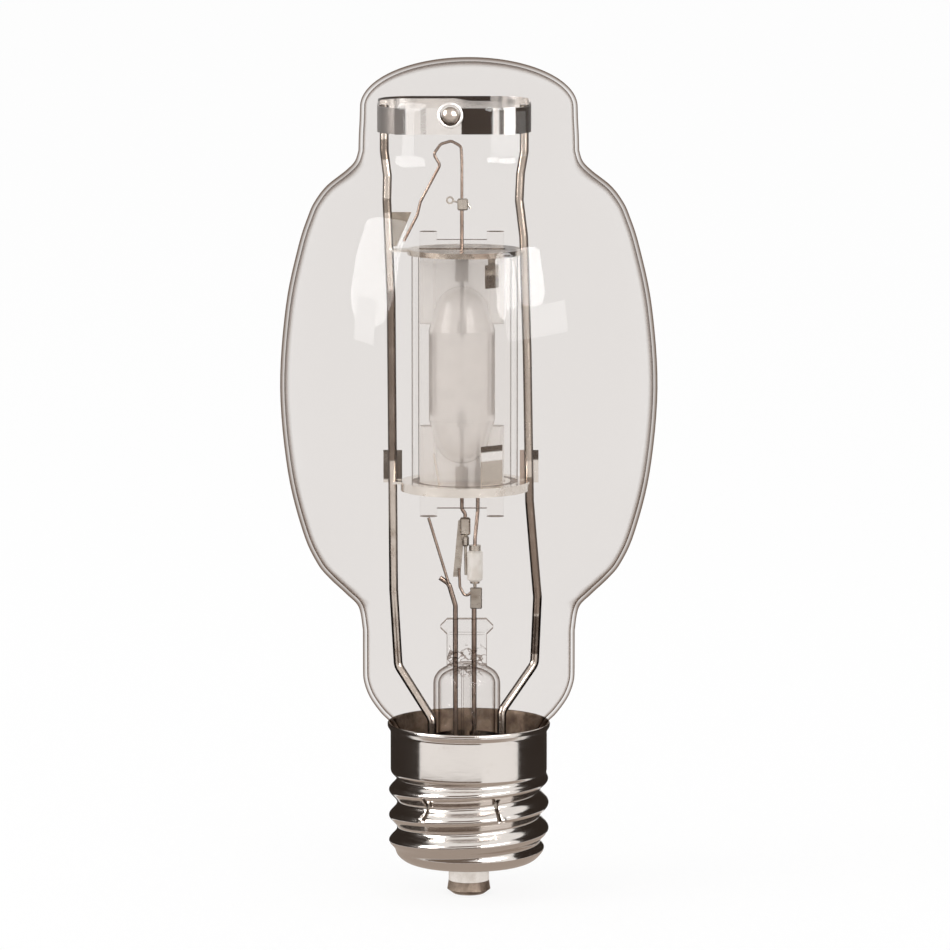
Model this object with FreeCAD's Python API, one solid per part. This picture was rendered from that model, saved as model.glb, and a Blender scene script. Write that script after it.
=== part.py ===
import FreeCAD, Part
import math
import os

os.makedirs("parts", exist_ok=True)

# A clear bulged-tubular metal halide lamp on a mogul screw base.
# Millimetres. The origin is at the tip of the centre contact, +Z runs up the
# lamp's axis, -Y is the front and +X is the right-hand side.

# Clearances
seat_gap = 0.04          # between pieces that are welded, soldered or sealed
slide_gap = 0.25         # round a piece that passes through a slot

# Outer bulb
overall_height = 206.8
glass_wall = 1.0
bulb_radius = 46.25
bulb_widest_height = 126.0
dome_radius = 26.9
dome_top_radius = 26.5
dome_rise = 12.0
dome_tube_length = 10.6
neck_radius = 26.1
neck_top_height = 66.0
neck_bottom_height = 56.5
seal_radius = 16.6
seal_top_height = 34.0
seal_bottom_height = 22.0

# Screw shell of the base
thread_pitch = 6.35
thread_crest_radius = 19.75
thread_depth = 2.0
thread_turns = 3.0
thread_front_height = 21.3
shell_wall = 0.4
skirt_radius = 19.33
skirt_height = 9.9
rim_radius = 20.05
rim_height = 1.5
shell_bottom_height = 8.0
shell_corner_radius = 5.0
shell_hole_radius = 11.5
stake_width = 1.1
stake_height = 4.4
stake_angles = (-34.8, 22.5)

# Insulator and centre contact
contact_height = 3.3
contact_radius = 5.35
contact_top_radius = 5.0
contact_face_radius = 3.9
contact_wall = 0.6
insulator_depth = 4.0
insulator_cone = 1.0

# Glass stem
stem_x = -0.5
stem_radius = 8.25
stem_wall = 1.2
stem_shoulder_height = 52.5
stem_dome_rise = 5.5
press_width = 9.9
press_thickness = 4.6
press_top_height = 65.0
lip_width = 13.0
lip_thickness = 6.4
lip_height = 3.9
exhaust_radius = 1.4
exhaust_wall = 0.5
exhaust_y = 3.4
exhaust_bottom_height = 15.0

# Wire frame
post_radius = 1.1
post_bend_radius = 3.0
post_foot_height = 31.0
post_foot_y = -5.0
clamp_height = 7.5
clamp_thickness = 0.5

# Spring strap in the dome
strap_left = -22.2
strap_right = 15.1
strap_half_depth = 17.0
strap_corner_radius = 8.0
strap_height = 6.3
strap_thickness = 0.45
strap_centre_height = 192.8
strap_tilt = 1.4
strap_boss_x = -4.4
strap_boss_radius = 3.2
strap_boss_lift = 1.5
rivet_head_radius = 2.05
rivet_head_height = 0.9

# Cage: the two shroud plates and the shroud between them
cage_x = -1.0
shroud_radius = 13.0
shroud_wall = 1.6
plate_thickness = 0.6
upper_plate_radius = 14.05
upper_plate_height = 160.1
upper_flange = 1.3
lower_plate_radius = 15.8
lower_plate_height = 103.0
lower_flange = 2.2
ear_width = 5.0
clip_height = 8.0
clip_width = 4.6
finger_radius = 10.2
finger_angle = 40.0
finger_thickness = 0.4
upper_finger_length = 8.3
upper_finger_width = 4.0
lower_finger_length = 9.6
lower_finger_width = 6.6
side_finger_length = 8.2
side_finger_width = 3.0
side_finger_lean = 10.0

# Arc tube
arc_x = -1.7
arc_radius = 8.1
arc_wall = 1.1
arc_body_bottom = 118.2
arc_body_top = 140.2
arc_dome_rise = 10.8
arc_end_taper = 16.0
pinch_width = 20.6
pinch_web = 2.2
pinch_rib_width = 4.2
pinch_rib_thickness = 3.6
pinch_top_height = 164.4
pinch_bottom_height = 94.2
pinch_overlap = 1.6
pinch_web_recess = 2.0

# Electrodes, foils and leads of the arc tube
electrode_radius = 0.45
coil_radius = 1.15
coil_length = 3.4
electrode_tip_gap = 5.2
foil_width = 3.2
starter_foil_width = 1.6
foil_thickness = 0.08
foil_length = 6.4
lead_radius = 0.45
starter_x = 2.2

# Top lead and its joint to the frame
top_lead_radius = 0.36
top_joint_height = 171.0
joint_block_width = 2.6
joint_block_height = 2.9
joint_block_thickness = 1.6
bridge_thickness = 0.3
bridge_height = 8.4
bridge_width = 6.0

# Starting gear under the arc tube
resistor_x = 1.5
resistor_radius = 1.92
resistor_length = 7.6
resistor_top_height = 85.8
resistor_cap_height = 1.3
resistor_cap_radius = 1.45
strip_width = 1.8
strip_thickness = 0.35
strip_bottom_height = 79.0
tab_width = 2.9
tab_height = 5.3
tab_thickness = 0.5
tab_top_height = 76.6

# Lead-in wires
lead_in_radius = 0.6
lead_in_left_x = -3.3
lead_in_right_x = 1.3
lead_in_foot_height = 28.0
lead_in_right_top = 71.6
probe_wire_radius = 0.35
base_wire_radius = 0.4

DOWN = FreeCAD.Vector(0, 0, -1)
UP = FreeCAD.Vector(0, 0, 1)
FRONT = FreeCAD.Vector(0, -1, 0)


def vec(x, y, z):
    return FreeCAD.Vector(x, y, z)


def moved(shape, x=0.0, y=0.0, z=0.0):
    copy = shape.copy()
    copy.translate(vec(x, y, z))
    return copy


def turned(shape, degrees, centre=(0, 0, 0), axis=(0, 0, 1)):
    copy = shape.copy()
    copy.rotate(vec(*centre), vec(*axis), degrees)
    return copy


def line(a, b):
    return Part.LineSegment(a, b).toShape()


def smooth(points, start=None, end=None):
    """A spline through points, with end tangents if they are given."""
    curve = Part.BSplineCurve()
    if start is None:
        curve.interpolate(Points=points)
    else:
        curve.interpolate(Points=points, InitialTangent=start, FinalTangent=end)
    return curve


def turned_solid(edges):
    """Revolve a closed outline in the XZ half plane about the Z axis."""
    face = Part.Face(Part.Wire(Part.__sortEdges__(edges)))
    solid = face.revolve(vec(0, 0, 0), UP, 360)
    if solid.Volume < 0:
        solid.reverse()
    return solid


def turned_polygon(points):
    """Revolve a closed polygon of (radius, height) corners."""
    corners = [vec(r, 0, z) for r, z in points]
    return turned_solid(Part.makePolygon(corners + corners[:1]).Edges)


def eased_box(width, depth, height, ease_by, x=0.0, y=0.0, z=0.0):
    """A box centred on x and y, standing on z, with all its edges eased."""
    box = Part.makeBox(width, depth, height, vec(x - width / 2, y - depth / 2, z))
    return box.makeChamfer(ease_by, box.Edges)


def upright_edges(shape):
    return [edge for edge in shape.Edges if abs(edge.tangentAt(edge.FirstParameter).z) > 0.9]


def slab(width, depth, height, x=0.0, y=0.0, z=0.0):
    """A plain box centred on x and y, standing on z."""
    return Part.makeBox(width, depth, height, vec(x - width / 2, y - depth / 2, z))


def bent_path(points, bend):
    """Straight runs through points, joined by tangent arcs."""
    edges = []
    last = points[0]
    for before, here, after in zip(points, points[1:], points[2:]):
        into = (here - before).normalize()
        away = (after - here).normalize()
        half_turn = into.getAngle(away) / 2
        if half_turn < math.radians(0.1):
            continue
        room = 0.45 * min((here - before).Length, (after - here).Length)
        reach = min(bend * math.tan(half_turn), room)
        start = here - into * reach
        end = here + away * reach
        bisector = (away - into).normalize()
        radius = reach / math.tan(half_turn)
        centre = here + bisector * (radius / math.cos(half_turn))
        middle = centre - bisector * radius
        edges.append(line(last, start))
        edges.append(Part.Arc(start, middle, end).toShape())
        last = end
    edges.append(line(last, points[-1]))
    return Part.Wire(edges)


def bent_rod(points, radius, bend):
    """A round wire that follows points with arcs at its bends."""
    corners = [vec(*point) for point in points]
    path = bent_path(corners, bend)
    ring = Part.makeCircle(radius, corners[0], corners[1] - corners[0])
    return path.makePipeShell([Part.Wire([ring])], True, False)


def straight_rod(start, end, radius):
    a = vec(*start)
    b = vec(*end)
    return Part.makeCylinder(radius, (b - a).Length, a, b - a)


# Outer bulb

LOWER_BULGE = ((0.100, 0.055), (0.163, 0.226), (0.226, 0.421), (0.288, 0.567),
               (0.412, 0.730), (0.660, 0.910))
UPPER_BULGE = ((0.347, 0.922), (0.598, 0.762), (0.725, 0.637), (0.786, 0.552),
               (0.850, 0.403), (0.913, 0.165), (0.954, 0.047))
NECK_CURVE = ((0.860, 0.979), (0.693, 0.838), (0.527, 0.568), (0.400, 0.290),
              (0.200, 0.063))

dome_base_height = overall_height - dome_rise
dome_foot_height = dome_base_height - dome_tube_length


def between(low, high, share):
    return low + (high - low) * share


NECK_ARCS = 3
BULGE_ARCS = 7


def bulge_points():
    """(radius, height) of the bulge from the neck tube to the dome tube."""
    points = [vec(neck_radius, 0, neck_top_height)]
    for up, out in LOWER_BULGE:
        points.append(vec(between(neck_radius, bulb_radius, out), 0,
                          between(neck_top_height, bulb_widest_height, up)))
    points.append(vec(bulb_radius, 0, bulb_widest_height))
    for up, out in UPPER_BULGE:
        points.append(vec(between(dome_radius, bulb_radius, out), 0,
                          between(bulb_widest_height, dome_foot_height, up)))
    points.append(vec(dome_radius, 0, dome_foot_height))
    return points


def neck_points():
    """The roll from the sealed end inside the base to the neck tube."""
    points = [vec(seal_radius, 0, seal_top_height)]
    for up, out in reversed(NECK_CURVE):
        points.append(vec(between(seal_radius, neck_radius, out), 0,
                          between(seal_top_height, neck_bottom_height, up)))
    points.append(vec(neck_radius, 0, neck_bottom_height))
    return points


def inset(points, depth):
    """Points moved inward, square to the smooth curve through them."""
    curve = smooth(points)
    result = []
    for point in points:
        tangent = curve.tangent(curve.parameter(point))[0]
        normal = vec(-tangent.z, 0, tangent.x)
        result.append(point + normal * depth)
    return result


def arcs_along(points, count):
    """The smooth curve through points, as a chain of round arcs."""
    curve = smooth(points)
    step = curve.length() / count
    stops = [points[0]]
    edges = []
    for index in range(count):
        middle = curve.value(curve.parameterAtDistance(step * (index + 0.5), curve.FirstParameter))
        end = curve.value(curve.parameterAtDistance(step * (index + 1), curve.FirstParameter))
        if index == count - 1:
            end = points[-1]
        edges.append(Part.Arc(stops[-1], middle, end).toShape())
        stops.append(end)
    return edges


def dome_arc(side, rise, height, depth):
    """A dome's outline, depth inside it: a shoulder arc, then a crown centred on the axis."""
    diagonal = math.hypot(side, rise)
    shoulder = diagonal * (diagonal - side + rise) / (2 * side)
    crown = diagonal * (diagonal + side - rise) / (2 * rise)
    lean = math.atan2(crown - rise, side - shoulder)

    def place(centre_r, centre_z, radius, turn):
        return vec(centre_r + (radius - depth) * math.cos(turn), 0,
                   centre_z + (radius - depth) * math.sin(turn))

    edge = place(side - shoulder, height, shoulder, 0)
    bend = place(side - shoulder, height, shoulder, lean / 2)
    join = place(side - shoulder, height, shoulder, lean)
    curve = place(0, height + rise - crown, crown, (lean + math.pi / 2) / 2)
    pole = vec(0, 0, height + rise - depth)
    return [Part.Arc(edge, bend, join).toShape(), Part.Arc(join, curve, pole).toShape()]


def bulb_wall(depth):
    """The bulb's outline at a depth inside the glass, as edges from seal to top."""
    neck = neck_points()
    bulge = bulge_points()
    if depth > 0:
        neck = inset(neck, depth)
        bulge = inset(bulge, depth)
    side = dome_top_radius - depth
    seal_end = vec(neck[0].x, 0, seal_bottom_height)
    dome_side = vec(side, 0, dome_base_height)
    edges = [line(seal_end, neck[0]), line(neck[-1], bulge[0]), line(bulge[-1], dome_side)]
    edges.extend(arcs_along(neck, NECK_ARCS))
    edges.extend(arcs_along(bulge, BULGE_ARCS))
    edges.extend(dome_arc(dome_top_radius, dome_rise, dome_base_height, depth))
    return edges, seal_end


def outer_bulb():
    outside, outer_end = bulb_wall(0.0)
    inside, inner_end = bulb_wall(glass_wall)
    top = line(vec(0, 0, overall_height - glass_wall), vec(0, 0, overall_height))
    return turned_solid(outside + inside + [line(outer_end, inner_end), top])


# Screw shell

thread_bottom = shell_bottom_height + 1.5
thread_top = thread_front_height + (thread_turns - 1) * thread_pitch / 2 + thread_pitch * 0.62
skirt_top = thread_top + skirt_height
rim_top = skirt_top + rim_height
MERIDIANS = 24
STATIONS = 24


def ease(value, low, high):
    """A smooth step from 0 at low to 1 at high."""
    share = min(max((value - low) / (high - low), 0.0), 1.0)
    return share * share * (3 - 2 * share)


def shell_radius(angle, height):
    """Outer radius of the rolled shell, angle in degrees from the front to the right."""
    mean = thread_crest_radius - thread_depth / 2
    corner_centre = shell_bottom_height + shell_corner_radius
    fall = max(corner_centre - height, 0.0)
    corner = mean - shell_corner_radius + math.sqrt(max(shell_corner_radius ** 2 - fall ** 2, 0.0))
    rise = ease(height, thread_top - thread_pitch * 0.42, thread_top - 0.2)
    plain = between(corner, skirt_radius, rise)
    fade_in = ease(height, thread_bottom + 0.4, corner_centre + 0.3)
    fade_out = 1 - ease(height, thread_top - thread_pitch * 0.5, thread_top - 0.3)
    phase = 2 * math.pi * (height - thread_front_height) / thread_pitch - math.radians(angle)
    return plain + thread_depth / 2 * math.cos(phase) * fade_in * fade_out


def thread_line(angle, depth):
    """Stations up the threaded wall at one angle, depth inside its outer face."""
    points = []
    for index in range(STATIONS + 1):
        height = between(thread_bottom, thread_top, index / STATIONS)
        points.append(vec(shell_radius(angle, height) - depth, 0, height))
    return points


def corner_line(depth):
    """Stations round the shell's bottom corner, from the floor up to the wall."""
    centre_r = thread_crest_radius - thread_depth / 2 - shell_corner_radius
    centre_z = shell_bottom_height + shell_corner_radius
    radius = shell_corner_radius - depth
    points = []
    for turn in (90, 75, 60):
        lean = math.radians(turn)
        points.append(vec(centre_r + radius * math.cos(lean), 0, centre_z - radius * math.sin(lean)))
    return points


def shell_section(angle):
    """The rolled sheet cut through at one angle, from the bottom hole to the rim."""
    flare = rim_radius - skirt_radius
    sheets = []
    for depth in (0.0, shell_wall):
        sheet = [vec(shell_hole_radius, 0, shell_bottom_height + depth)]
        sheet += corner_line(depth) + thread_line(angle, depth)
        sheet += [
            vec(skirt_radius - depth, 0, skirt_top - flare),
            vec(rim_radius - depth, 0, skirt_top + flare),
            vec(rim_radius - depth, 0, rim_top),
        ]
        sheets.append(sheet)
    outer, inner = sheets
    corners = outer + inner[::-1] + outer[:1]
    return turned(Part.makePolygon(corners), angle - 90)


def rolled_shell():
    """The whole shell, lofted round the axis through its sections in two halves."""
    halves = []
    for first in (0, MERIDIANS // 2):
        sections = []
        for index in range(first, first + MERIDIANS // 2 + 1):
            sections.append(shell_section(360.0 * index / MERIDIANS))
        halves.append(Part.makeLoft(sections, True, True))
    return halves[0].fuse(halves[1])


def stake_slits():
    """Two punched slits that lock the shell on, across one crest of the thread."""
    slits = []
    for angle in stake_angles:
        height = thread_front_height + thread_pitch * angle / 360 - stake_height / 2
        slit = slab(stake_width, 2 * thread_depth, stake_height, 0, -thread_crest_radius, height)
        slits.append(turned(slit, angle))
    return slits


def screw_shell():
    return rolled_shell().cut(stake_slits())


# Insulator, contact and cement

insulator_top = shell_bottom_height + shell_wall + insulator_depth
collar_top = shell_bottom_height - insulator_cone


def base_insulator():
    inside = shell_hole_radius - seat_gap
    disc = shell_hole_radius + 2.4
    floor = shell_bottom_height + shell_wall + seat_gap
    spigot = contact_top_radius - contact_wall - seat_gap
    bore = base_wire_radius + slide_gap
    points = [
        (bore, contact_wall + seat_gap), (spigot, contact_wall + seat_gap),
        (spigot, contact_height + seat_gap), (contact_top_radius, contact_height + seat_gap),
        (contact_top_radius, collar_top - 0.6), (contact_top_radius + 1.2, collar_top),
        (inside, shell_bottom_height), (inside, floor),
        (disc, floor), (disc, insulator_top - 1.2),
        (disc - 3.0, insulator_top), (bore, insulator_top),
    ]
    return turned_polygon(points)


def centre_contact():
    belly = 1.1
    inner = contact_top_radius - contact_wall
    edges = [
        line(vec(0, 0, 0), vec(contact_face_radius, 0, 0)),
        line(vec(contact_face_radius, 0, 0), vec(contact_radius, 0, belly)),
        line(vec(contact_radius, 0, belly), vec(contact_top_radius, 0, contact_height)),
        line(vec(contact_top_radius, 0, contact_height), vec(inner, 0, contact_height)),
        line(vec(inner, 0, contact_height), vec(inner, 0, contact_wall)),
        line(vec(inner, 0, contact_wall), vec(0, 0, contact_wall)),
        line(vec(0, 0, contact_wall), vec(0, 0, 0)),
    ]
    return turned_solid(edges)


def base_cement():
    """The ring that holds the sealed end of the bulb in the shell."""
    inner = seal_radius + seat_gap
    flat = math.cos(math.pi / MERIDIANS)
    narrow = (thread_crest_radius - thread_depth - shell_wall) * flat - seat_gap
    wide = (skirt_radius - shell_wall) * flat - seat_gap
    step = thread_top + 0.2
    top = seal_top_height - 0.4
    points = [
        (inner, seal_bottom_height + 1.0), (narrow, seal_bottom_height + 1.0),
        (narrow, step), (wide, step), (wide, top), (inner, top),
    ]
    return turned_polygon(points)


# Stem

flare_radius = seal_radius - abs(stem_x)
tube_bottom = seal_bottom_height - seat_gap + flare_radius - stem_radius


def stem_body(depth):
    """The stem tube with its domed top, and the flare under it, depth inside its face."""
    radius = stem_radius - depth
    sweep = flare_radius - radius
    foot = vec(radius, 0, tube_bottom)
    rim = vec(flare_radius, 0, tube_bottom - sweep)
    bottom = seal_bottom_height - 3 * glass_wall
    top = stem_shoulder_height + stem_dome_rise - depth
    edges = dome_arc(stem_radius, stem_dome_rise, stem_shoulder_height, depth) + [
        line(vec(radius, 0, stem_shoulder_height), foot),
        line(foot, rim),
        line(rim, vec(flare_radius, 0, bottom)),
        line(vec(flare_radius, 0, bottom), vec(0, 0, bottom)),
        line(vec(0, 0, bottom), vec(0, 0, top)),
    ]
    return turned_solid(edges)


def lead_in_left_path():
    return (
        (lead_in_left_x, 0, lead_in_foot_height),
        (lead_in_left_x, 0, 72.0),
        (lead_in_left_x - 1.6, 0, 77.4),
        (lead_in_left_x - 3.8, 0, 78.9),
    )


def glass_stem():
    body = stem_body(0.0)
    hollow = stem_body(stem_wall)
    press_foot = stem_shoulder_height + 1.0
    press = slab(press_width, press_thickness, press_top_height - press_foot, 0, 0, press_foot)
    press = press.makeFillet(press_thickness * 0.35, upright_edges(press))
    lip = eased_box(lip_width, lip_thickness, lip_height, 1.7, 0, 0, press_top_height - 0.2)
    stem = body.fuse([press, lip]).cut(hollow)
    tube, bore = exhaust_tube()
    stem = moved(stem.fuse(tube).cut(bore), stem_x)
    for x in (lead_in_left_x, lead_in_right_x):
        channel = Part.makeCylinder(lead_in_radius + seat_gap, lead_in_right_top + 10, vec(x, 0, 0), UP)
        stem = stem.cut(channel)
    return stem


def exhaust_tube():
    """The tipped-off pumping tube inside the stem, and the bore in it."""
    top = stem_shoulder_height + 0.8 * stem_dome_rise
    foot = vec(0, exhaust_y, exhaust_bottom_height)
    length = top - exhaust_bottom_height
    tube = Part.makeCylinder(exhaust_radius, length, foot, UP)
    tip = Part.makeSphere(exhaust_radius, foot)
    bore = Part.makeCylinder(exhaust_radius - exhaust_wall, length, foot, UP)
    return tube.fuse(tip), bore


# Wire frame

clamp_inner = stem_radius + seat_gap
clamp_outer = clamp_inner + clamp_thickness
post_seat = clamp_outer + seat_gap + post_radius
foot_reach = math.sqrt(post_seat ** 2 - post_foot_y ** 2)
strap_left_inside = strap_left + strap_thickness
strap_right_inside = strap_right - strap_thickness
post_top = strap_centre_height + strap_height / 2 - 0.6
left_post_top_x = strap_left_inside + seat_gap + post_radius
right_post_top_x = strap_right_inside - seat_gap - post_radius


def left_post_path():
    """The left post: in front of the stem, out to the bulge, up to the strap."""
    foot_x = stem_x - foot_reach
    return (
        (foot_x, post_foot_y, post_foot_height),
        (foot_x, post_foot_y, 44.5),
        (-17.4, 0, 57.0),
        (-18.5, 0, 76.0),
        (-18.75, 0, 112.0),
        (-19.0, 0, 148.0),
        (-20.0, 0, 172.0),
        (-19.85, 0, 178.0),
        (left_post_top_x, 0, 184.0),
        (left_post_top_x, 0, post_top),
    )


def right_post_path():
    foot_x = stem_x + foot_reach
    return (
        (foot_x, post_foot_y, post_foot_height),
        (foot_x, post_foot_y, 46.5),
        (16.2, 0, 57.5),
        (16.9, 0, 74.0),
        (14.9, 0, 98.0),
        (14.3, 0, 134.0),
        (13.4, 0, 163.0),
        (12.3, 0, 172.0),
        (12.6, 0, 178.5),
        (right_post_top_x, 0, 184.0),
        (right_post_top_x, 0, post_top),
    )


def post(path, extra=0.0):
    return bent_rod(path, post_radius + extra, post_bend_radius)


def stem_clamp():
    """A sheet band round the stem that both posts are welded to."""
    bottom = post_foot_height + 0.8
    band = Part.makeCylinder(clamp_outer, clamp_height, vec(stem_x, 0, bottom), UP)
    band = band.cut(Part.makeCylinder(clamp_inner, clamp_height, vec(stem_x, 0, bottom), UP))
    gap = slab(1.2, clamp_outer, clamp_height, stem_x, clamp_outer, bottom)
    return band.cut(gap)


# Spring strap

def strap_plan(inward):
    """The strap's rounded outline seen from above, inward from its outer face."""
    left = strap_left + inward
    right = strap_right - inward
    half_depth = strap_half_depth - inward
    radius = strap_corner_radius - inward
    box = Part.makeBox(right - left, 2 * half_depth, strap_height,
                       vec(left, -half_depth, strap_centre_height - strap_height / 2))
    return box.makeFillet(radius, upright_edges(box))


strap_centre = (strap_left / 2 + strap_right / 2, 0, strap_centre_height)
boss_height = strap_centre_height + strap_boss_lift


def dome_strap():
    """The band with its lapped end: a round tongue riveted over the front."""
    band = strap_plan(0).cut(strap_plan(strap_thickness))
    front = -strap_half_depth
    tongue_length = 13.5
    tongue = slab(tongue_length, strap_thickness, strap_height,
                  strap_boss_x - tongue_length / 2, front - strap_thickness / 2,
                  strap_centre_height - strap_height / 2)
    boss = Part.makeCylinder(strap_boss_radius, strap_thickness,
                             vec(strap_boss_x, front, boss_height), FRONT)
    hole = Part.makeCylinder(rivet_head_radius / 2 + seat_gap, 6 * strap_thickness,
                             vec(strap_boss_x, front + 3 * strap_thickness, boss_height), FRONT)
    strap = band.fuse([tongue, boss]).cut(hole).removeSplitter()
    return turned(strap, strap_tilt, strap_centre, (1, 0, 0))


def strap_rivet():
    front = -strap_half_depth
    outside = front - strap_thickness - seat_gap
    inside = front + strap_thickness + seat_gap
    shank = Part.makeCylinder(rivet_head_radius / 2, inside - outside + 0.4,
                              vec(strap_boss_x, inside + 0.2, boss_height), FRONT)
    cap_radius = (rivet_head_radius ** 2 + rivet_head_height ** 2) / (2 * rivet_head_height)
    ball = Part.makeSphere(cap_radius, vec(strap_boss_x, outside + cap_radius - rivet_head_height, boss_height))
    half = Part.makeBox(20, 20, 20, vec(strap_boss_x - 10, outside - 20, boss_height - 10))
    tail = Part.makeCylinder(rivet_head_radius * 0.8, 0.5, vec(strap_boss_x, inside + 0.5, boss_height), FRONT)
    rivet = shank.fuse([ball.common(half), tail])
    return turned(rivet, strap_tilt, strap_centre, (1, 0, 0))


# Shroud plates

def pinch_slot(height):
    """The slot that a pinch of the arc tube passes through."""
    width = pinch_width + 2 * slide_gap
    depth = pinch_rib_thickness + 2 * slide_gap
    return slab(width, depth, 8 * plate_thickness, arc_x, 0, height - 4 * plate_thickness)


def ears(height, left_end, right_end):
    """Two ears that reach from the disc out to the posts."""
    low = height - plate_thickness
    width = right_end - left_end
    return slab(width, ear_width, plate_thickness, (left_end + right_end) / 2, 0, low)


def flanged_disc(radius, height, flange):
    top = Part.makeCylinder(radius, flange, vec(cage_x, 0, height - flange), UP)
    hollow = Part.makeCylinder(radius - plate_thickness, flange - plate_thickness,
                               vec(cage_x, 0, height - flange), UP)
    return top.cut(hollow)


def finger(width, low, high, neck=None):
    """A flat spring finger at its place near the wall of the shroud."""
    blade = slab(width, finger_thickness, high - low, 0, -finger_radius, low)
    if neck:
        neck_low, neck_high = neck
        for side in (-1, 1):
            cut = slab(width / 4, 4 * finger_thickness, neck_high - neck_low,
                       side * width * 3 / 8, -finger_radius, neck_low)
            blade = blade.cut(cut)
    return moved(turned(blade, finger_angle), cage_x)


def upper_shroud_plate(posts):
    disc = flanged_disc(upper_plate_radius, upper_plate_height, upper_flange)
    wings = ears(upper_plate_height, left_post_near(upper_plate_height), right_post_near(upper_plate_height))
    low = upper_plate_height - plate_thickness - upper_finger_length
    high = upper_plate_height - plate_thickness
    blade = finger(upper_finger_width, low, high, (high - 2.6, high - 0.6))
    plate = disc.fuse([wings, blade]).cut(pinch_slot(upper_plate_height))
    return plate.cut(posts)


def along(path, height):
    """Where a post's path is at a height."""
    for a, b in zip(path, path[1:]):
        if a[2] <= height <= b[2]:
            return between(a[0], b[0], (height - a[2]) / (b[2] - a[2]))
    return path[-1][0]


def left_post_near(height):
    return along(left_post_path(), height)


def right_post_near(height):
    return along(right_post_path(), height)


def post_clip(post_x, height):
    """A tab folded up behind a post and welded to it."""
    back = post_radius + seat_gap + plate_thickness / 2
    return slab(clip_width, plate_thickness, clip_height, post_x, back, height - plate_thickness)


def side_finger(height):
    """The finger that stands edge on to the front, leaning a little."""
    blade = slab(finger_thickness * 1.6, side_finger_width, side_finger_length, -7.2, -6.4, height - plate_thickness)
    return turned(blade, -side_finger_lean, (-7.2, -6.4, height), (0, 1, 0))


def lower_shroud_plate(posts):
    height = lower_plate_height
    disc = flanged_disc(lower_plate_radius, height, lower_flange)
    left = left_post_near(height)
    right = right_post_near(height)
    wings = ears(height, left, right)
    clips = [post_clip(left, height), post_clip(right, height)]
    blade = finger(lower_finger_width, height - plate_thickness, height + lower_finger_length)
    plate = disc.fuse([wings, blade, side_finger(height)] + clips).cut(pinch_slot(height))
    return plate.cut(posts)


def shroud_tube():
    low = lower_plate_height + seat_gap
    high = upper_plate_height - plate_thickness - seat_gap
    outer = Part.makeCylinder(shroud_radius, high - low, vec(cage_x, 0, low), UP)
    return outer.cut(Part.makeCylinder(shroud_radius - shroud_wall, high - low, vec(cage_x, 0, low), UP))


# Arc tube

def capsule(depth):
    """The arc tube's round body and its tapered ends, depth inside its outer face."""
    lean = math.radians(arc_end_taper)
    tip = (arc_radius - arc_dome_rise * math.tan(lean)) \
        / (math.cos(lean) - (1 - math.sin(lean)) * math.tan(lean))
    ball = tip - depth
    centre = arc_body_top + arc_dome_rise - tip
    middle = (lean + math.pi / 2) / 2
    side = vec(arc_radius - depth, 0, arc_body_top - depth * math.tan(lean / 2))
    join = vec(ball * math.cos(lean), 0, centre + ball * math.sin(lean))
    bend = vec(ball * math.cos(middle), 0, centre + ball * math.sin(middle))
    pole = vec(0, 0, centre + ball)
    top = [line(side, join), Part.Arc(join, bend, pole).toShape()]
    halfway = vec(0, 0, (arc_body_top + arc_body_bottom) / 2)
    bottom = [edge.mirror(halfway, UP) for edge in top]
    low_side = vec(side.x, 0, 2 * halfway.z - side.z)
    low_pole = vec(0, 0, 2 * halfway.z - pole.z)
    return turned_solid(top + bottom + [line(low_side, side), line(low_pole, pole)])


def pinch(outer_end, inner_end):
    """A pressed seal: a thin web between two thick ribs that end in round noses."""
    low = min(outer_end, inner_end)
    high = max(outer_end, inner_end)
    outward = 1 if outer_end > inner_end else -1
    web_low = low + (pinch_web_recess if outward < 0 else 0)
    web_high = high - (pinch_web_recess if outward > 0 else 0)
    web = slab(pinch_width - pinch_rib_width, pinch_web, web_high - web_low, 0, 0, web_low)
    parts = [web]
    for side in (-1, 1):
        rib = slab(pinch_rib_width, pinch_rib_thickness, high - low,
                   side * (pinch_width - pinch_rib_width) / 2, 0, low)
        parts.append(rib.makeChamfer(pinch_rib_thickness * 0.25, upright_edges(rib)))
    return parts


COIL_TURNS = 4


def foil_places():
    """Height of the foot of each foil, upper pinch first."""
    upper = arc_body_top + arc_dome_rise + 1.0
    lower = arc_body_bottom - arc_dome_rise - 1.0 - foil_length
    return upper, lower


def arc_tube():
    body = capsule(0.0)
    cavity = capsule(arc_wall)
    upper = pinch(pinch_top_height, arc_body_top + pinch_overlap)
    lower = pinch(pinch_bottom_height, arc_body_bottom - pinch_overlap)
    tube = body.fuse(upper + lower).removeSplitter().cut(cavity)
    upper_foil, lower_foil = foil_places()
    bore = electrode_radius + seat_gap
    lead_bore = lead_radius + seat_gap
    cuts = []
    for x in (0.0, starter_x - arc_x):
        cuts.append(Part.makeCylinder(bore, foil_length + 8, vec(x, 0, lower_foil + foil_length), UP))
        cuts.append(Part.makeCylinder(lead_bore, foil_length + 12, vec(x, 0, lower_foil), DOWN))
    for x, width, low in ((0, foil_width, upper_foil), (0, foil_width, lower_foil),
                          (starter_x - arc_x, starter_foil_width, lower_foil)):
        cuts.append(slab(width + 2 * seat_gap, foil_thickness + 2 * seat_gap,
                         foil_length + 2 * seat_gap, x, 0, low - seat_gap))
    cuts.append(Part.makeCylinder(bore, 8, vec(0, 0, upper_foil), DOWN))
    cuts.append(Part.makeCylinder(lead_bore, foil_length + 12, vec(0, 0, upper_foil + foil_length), UP))
    return moved(tube.cut(cuts), arc_x)


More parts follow.
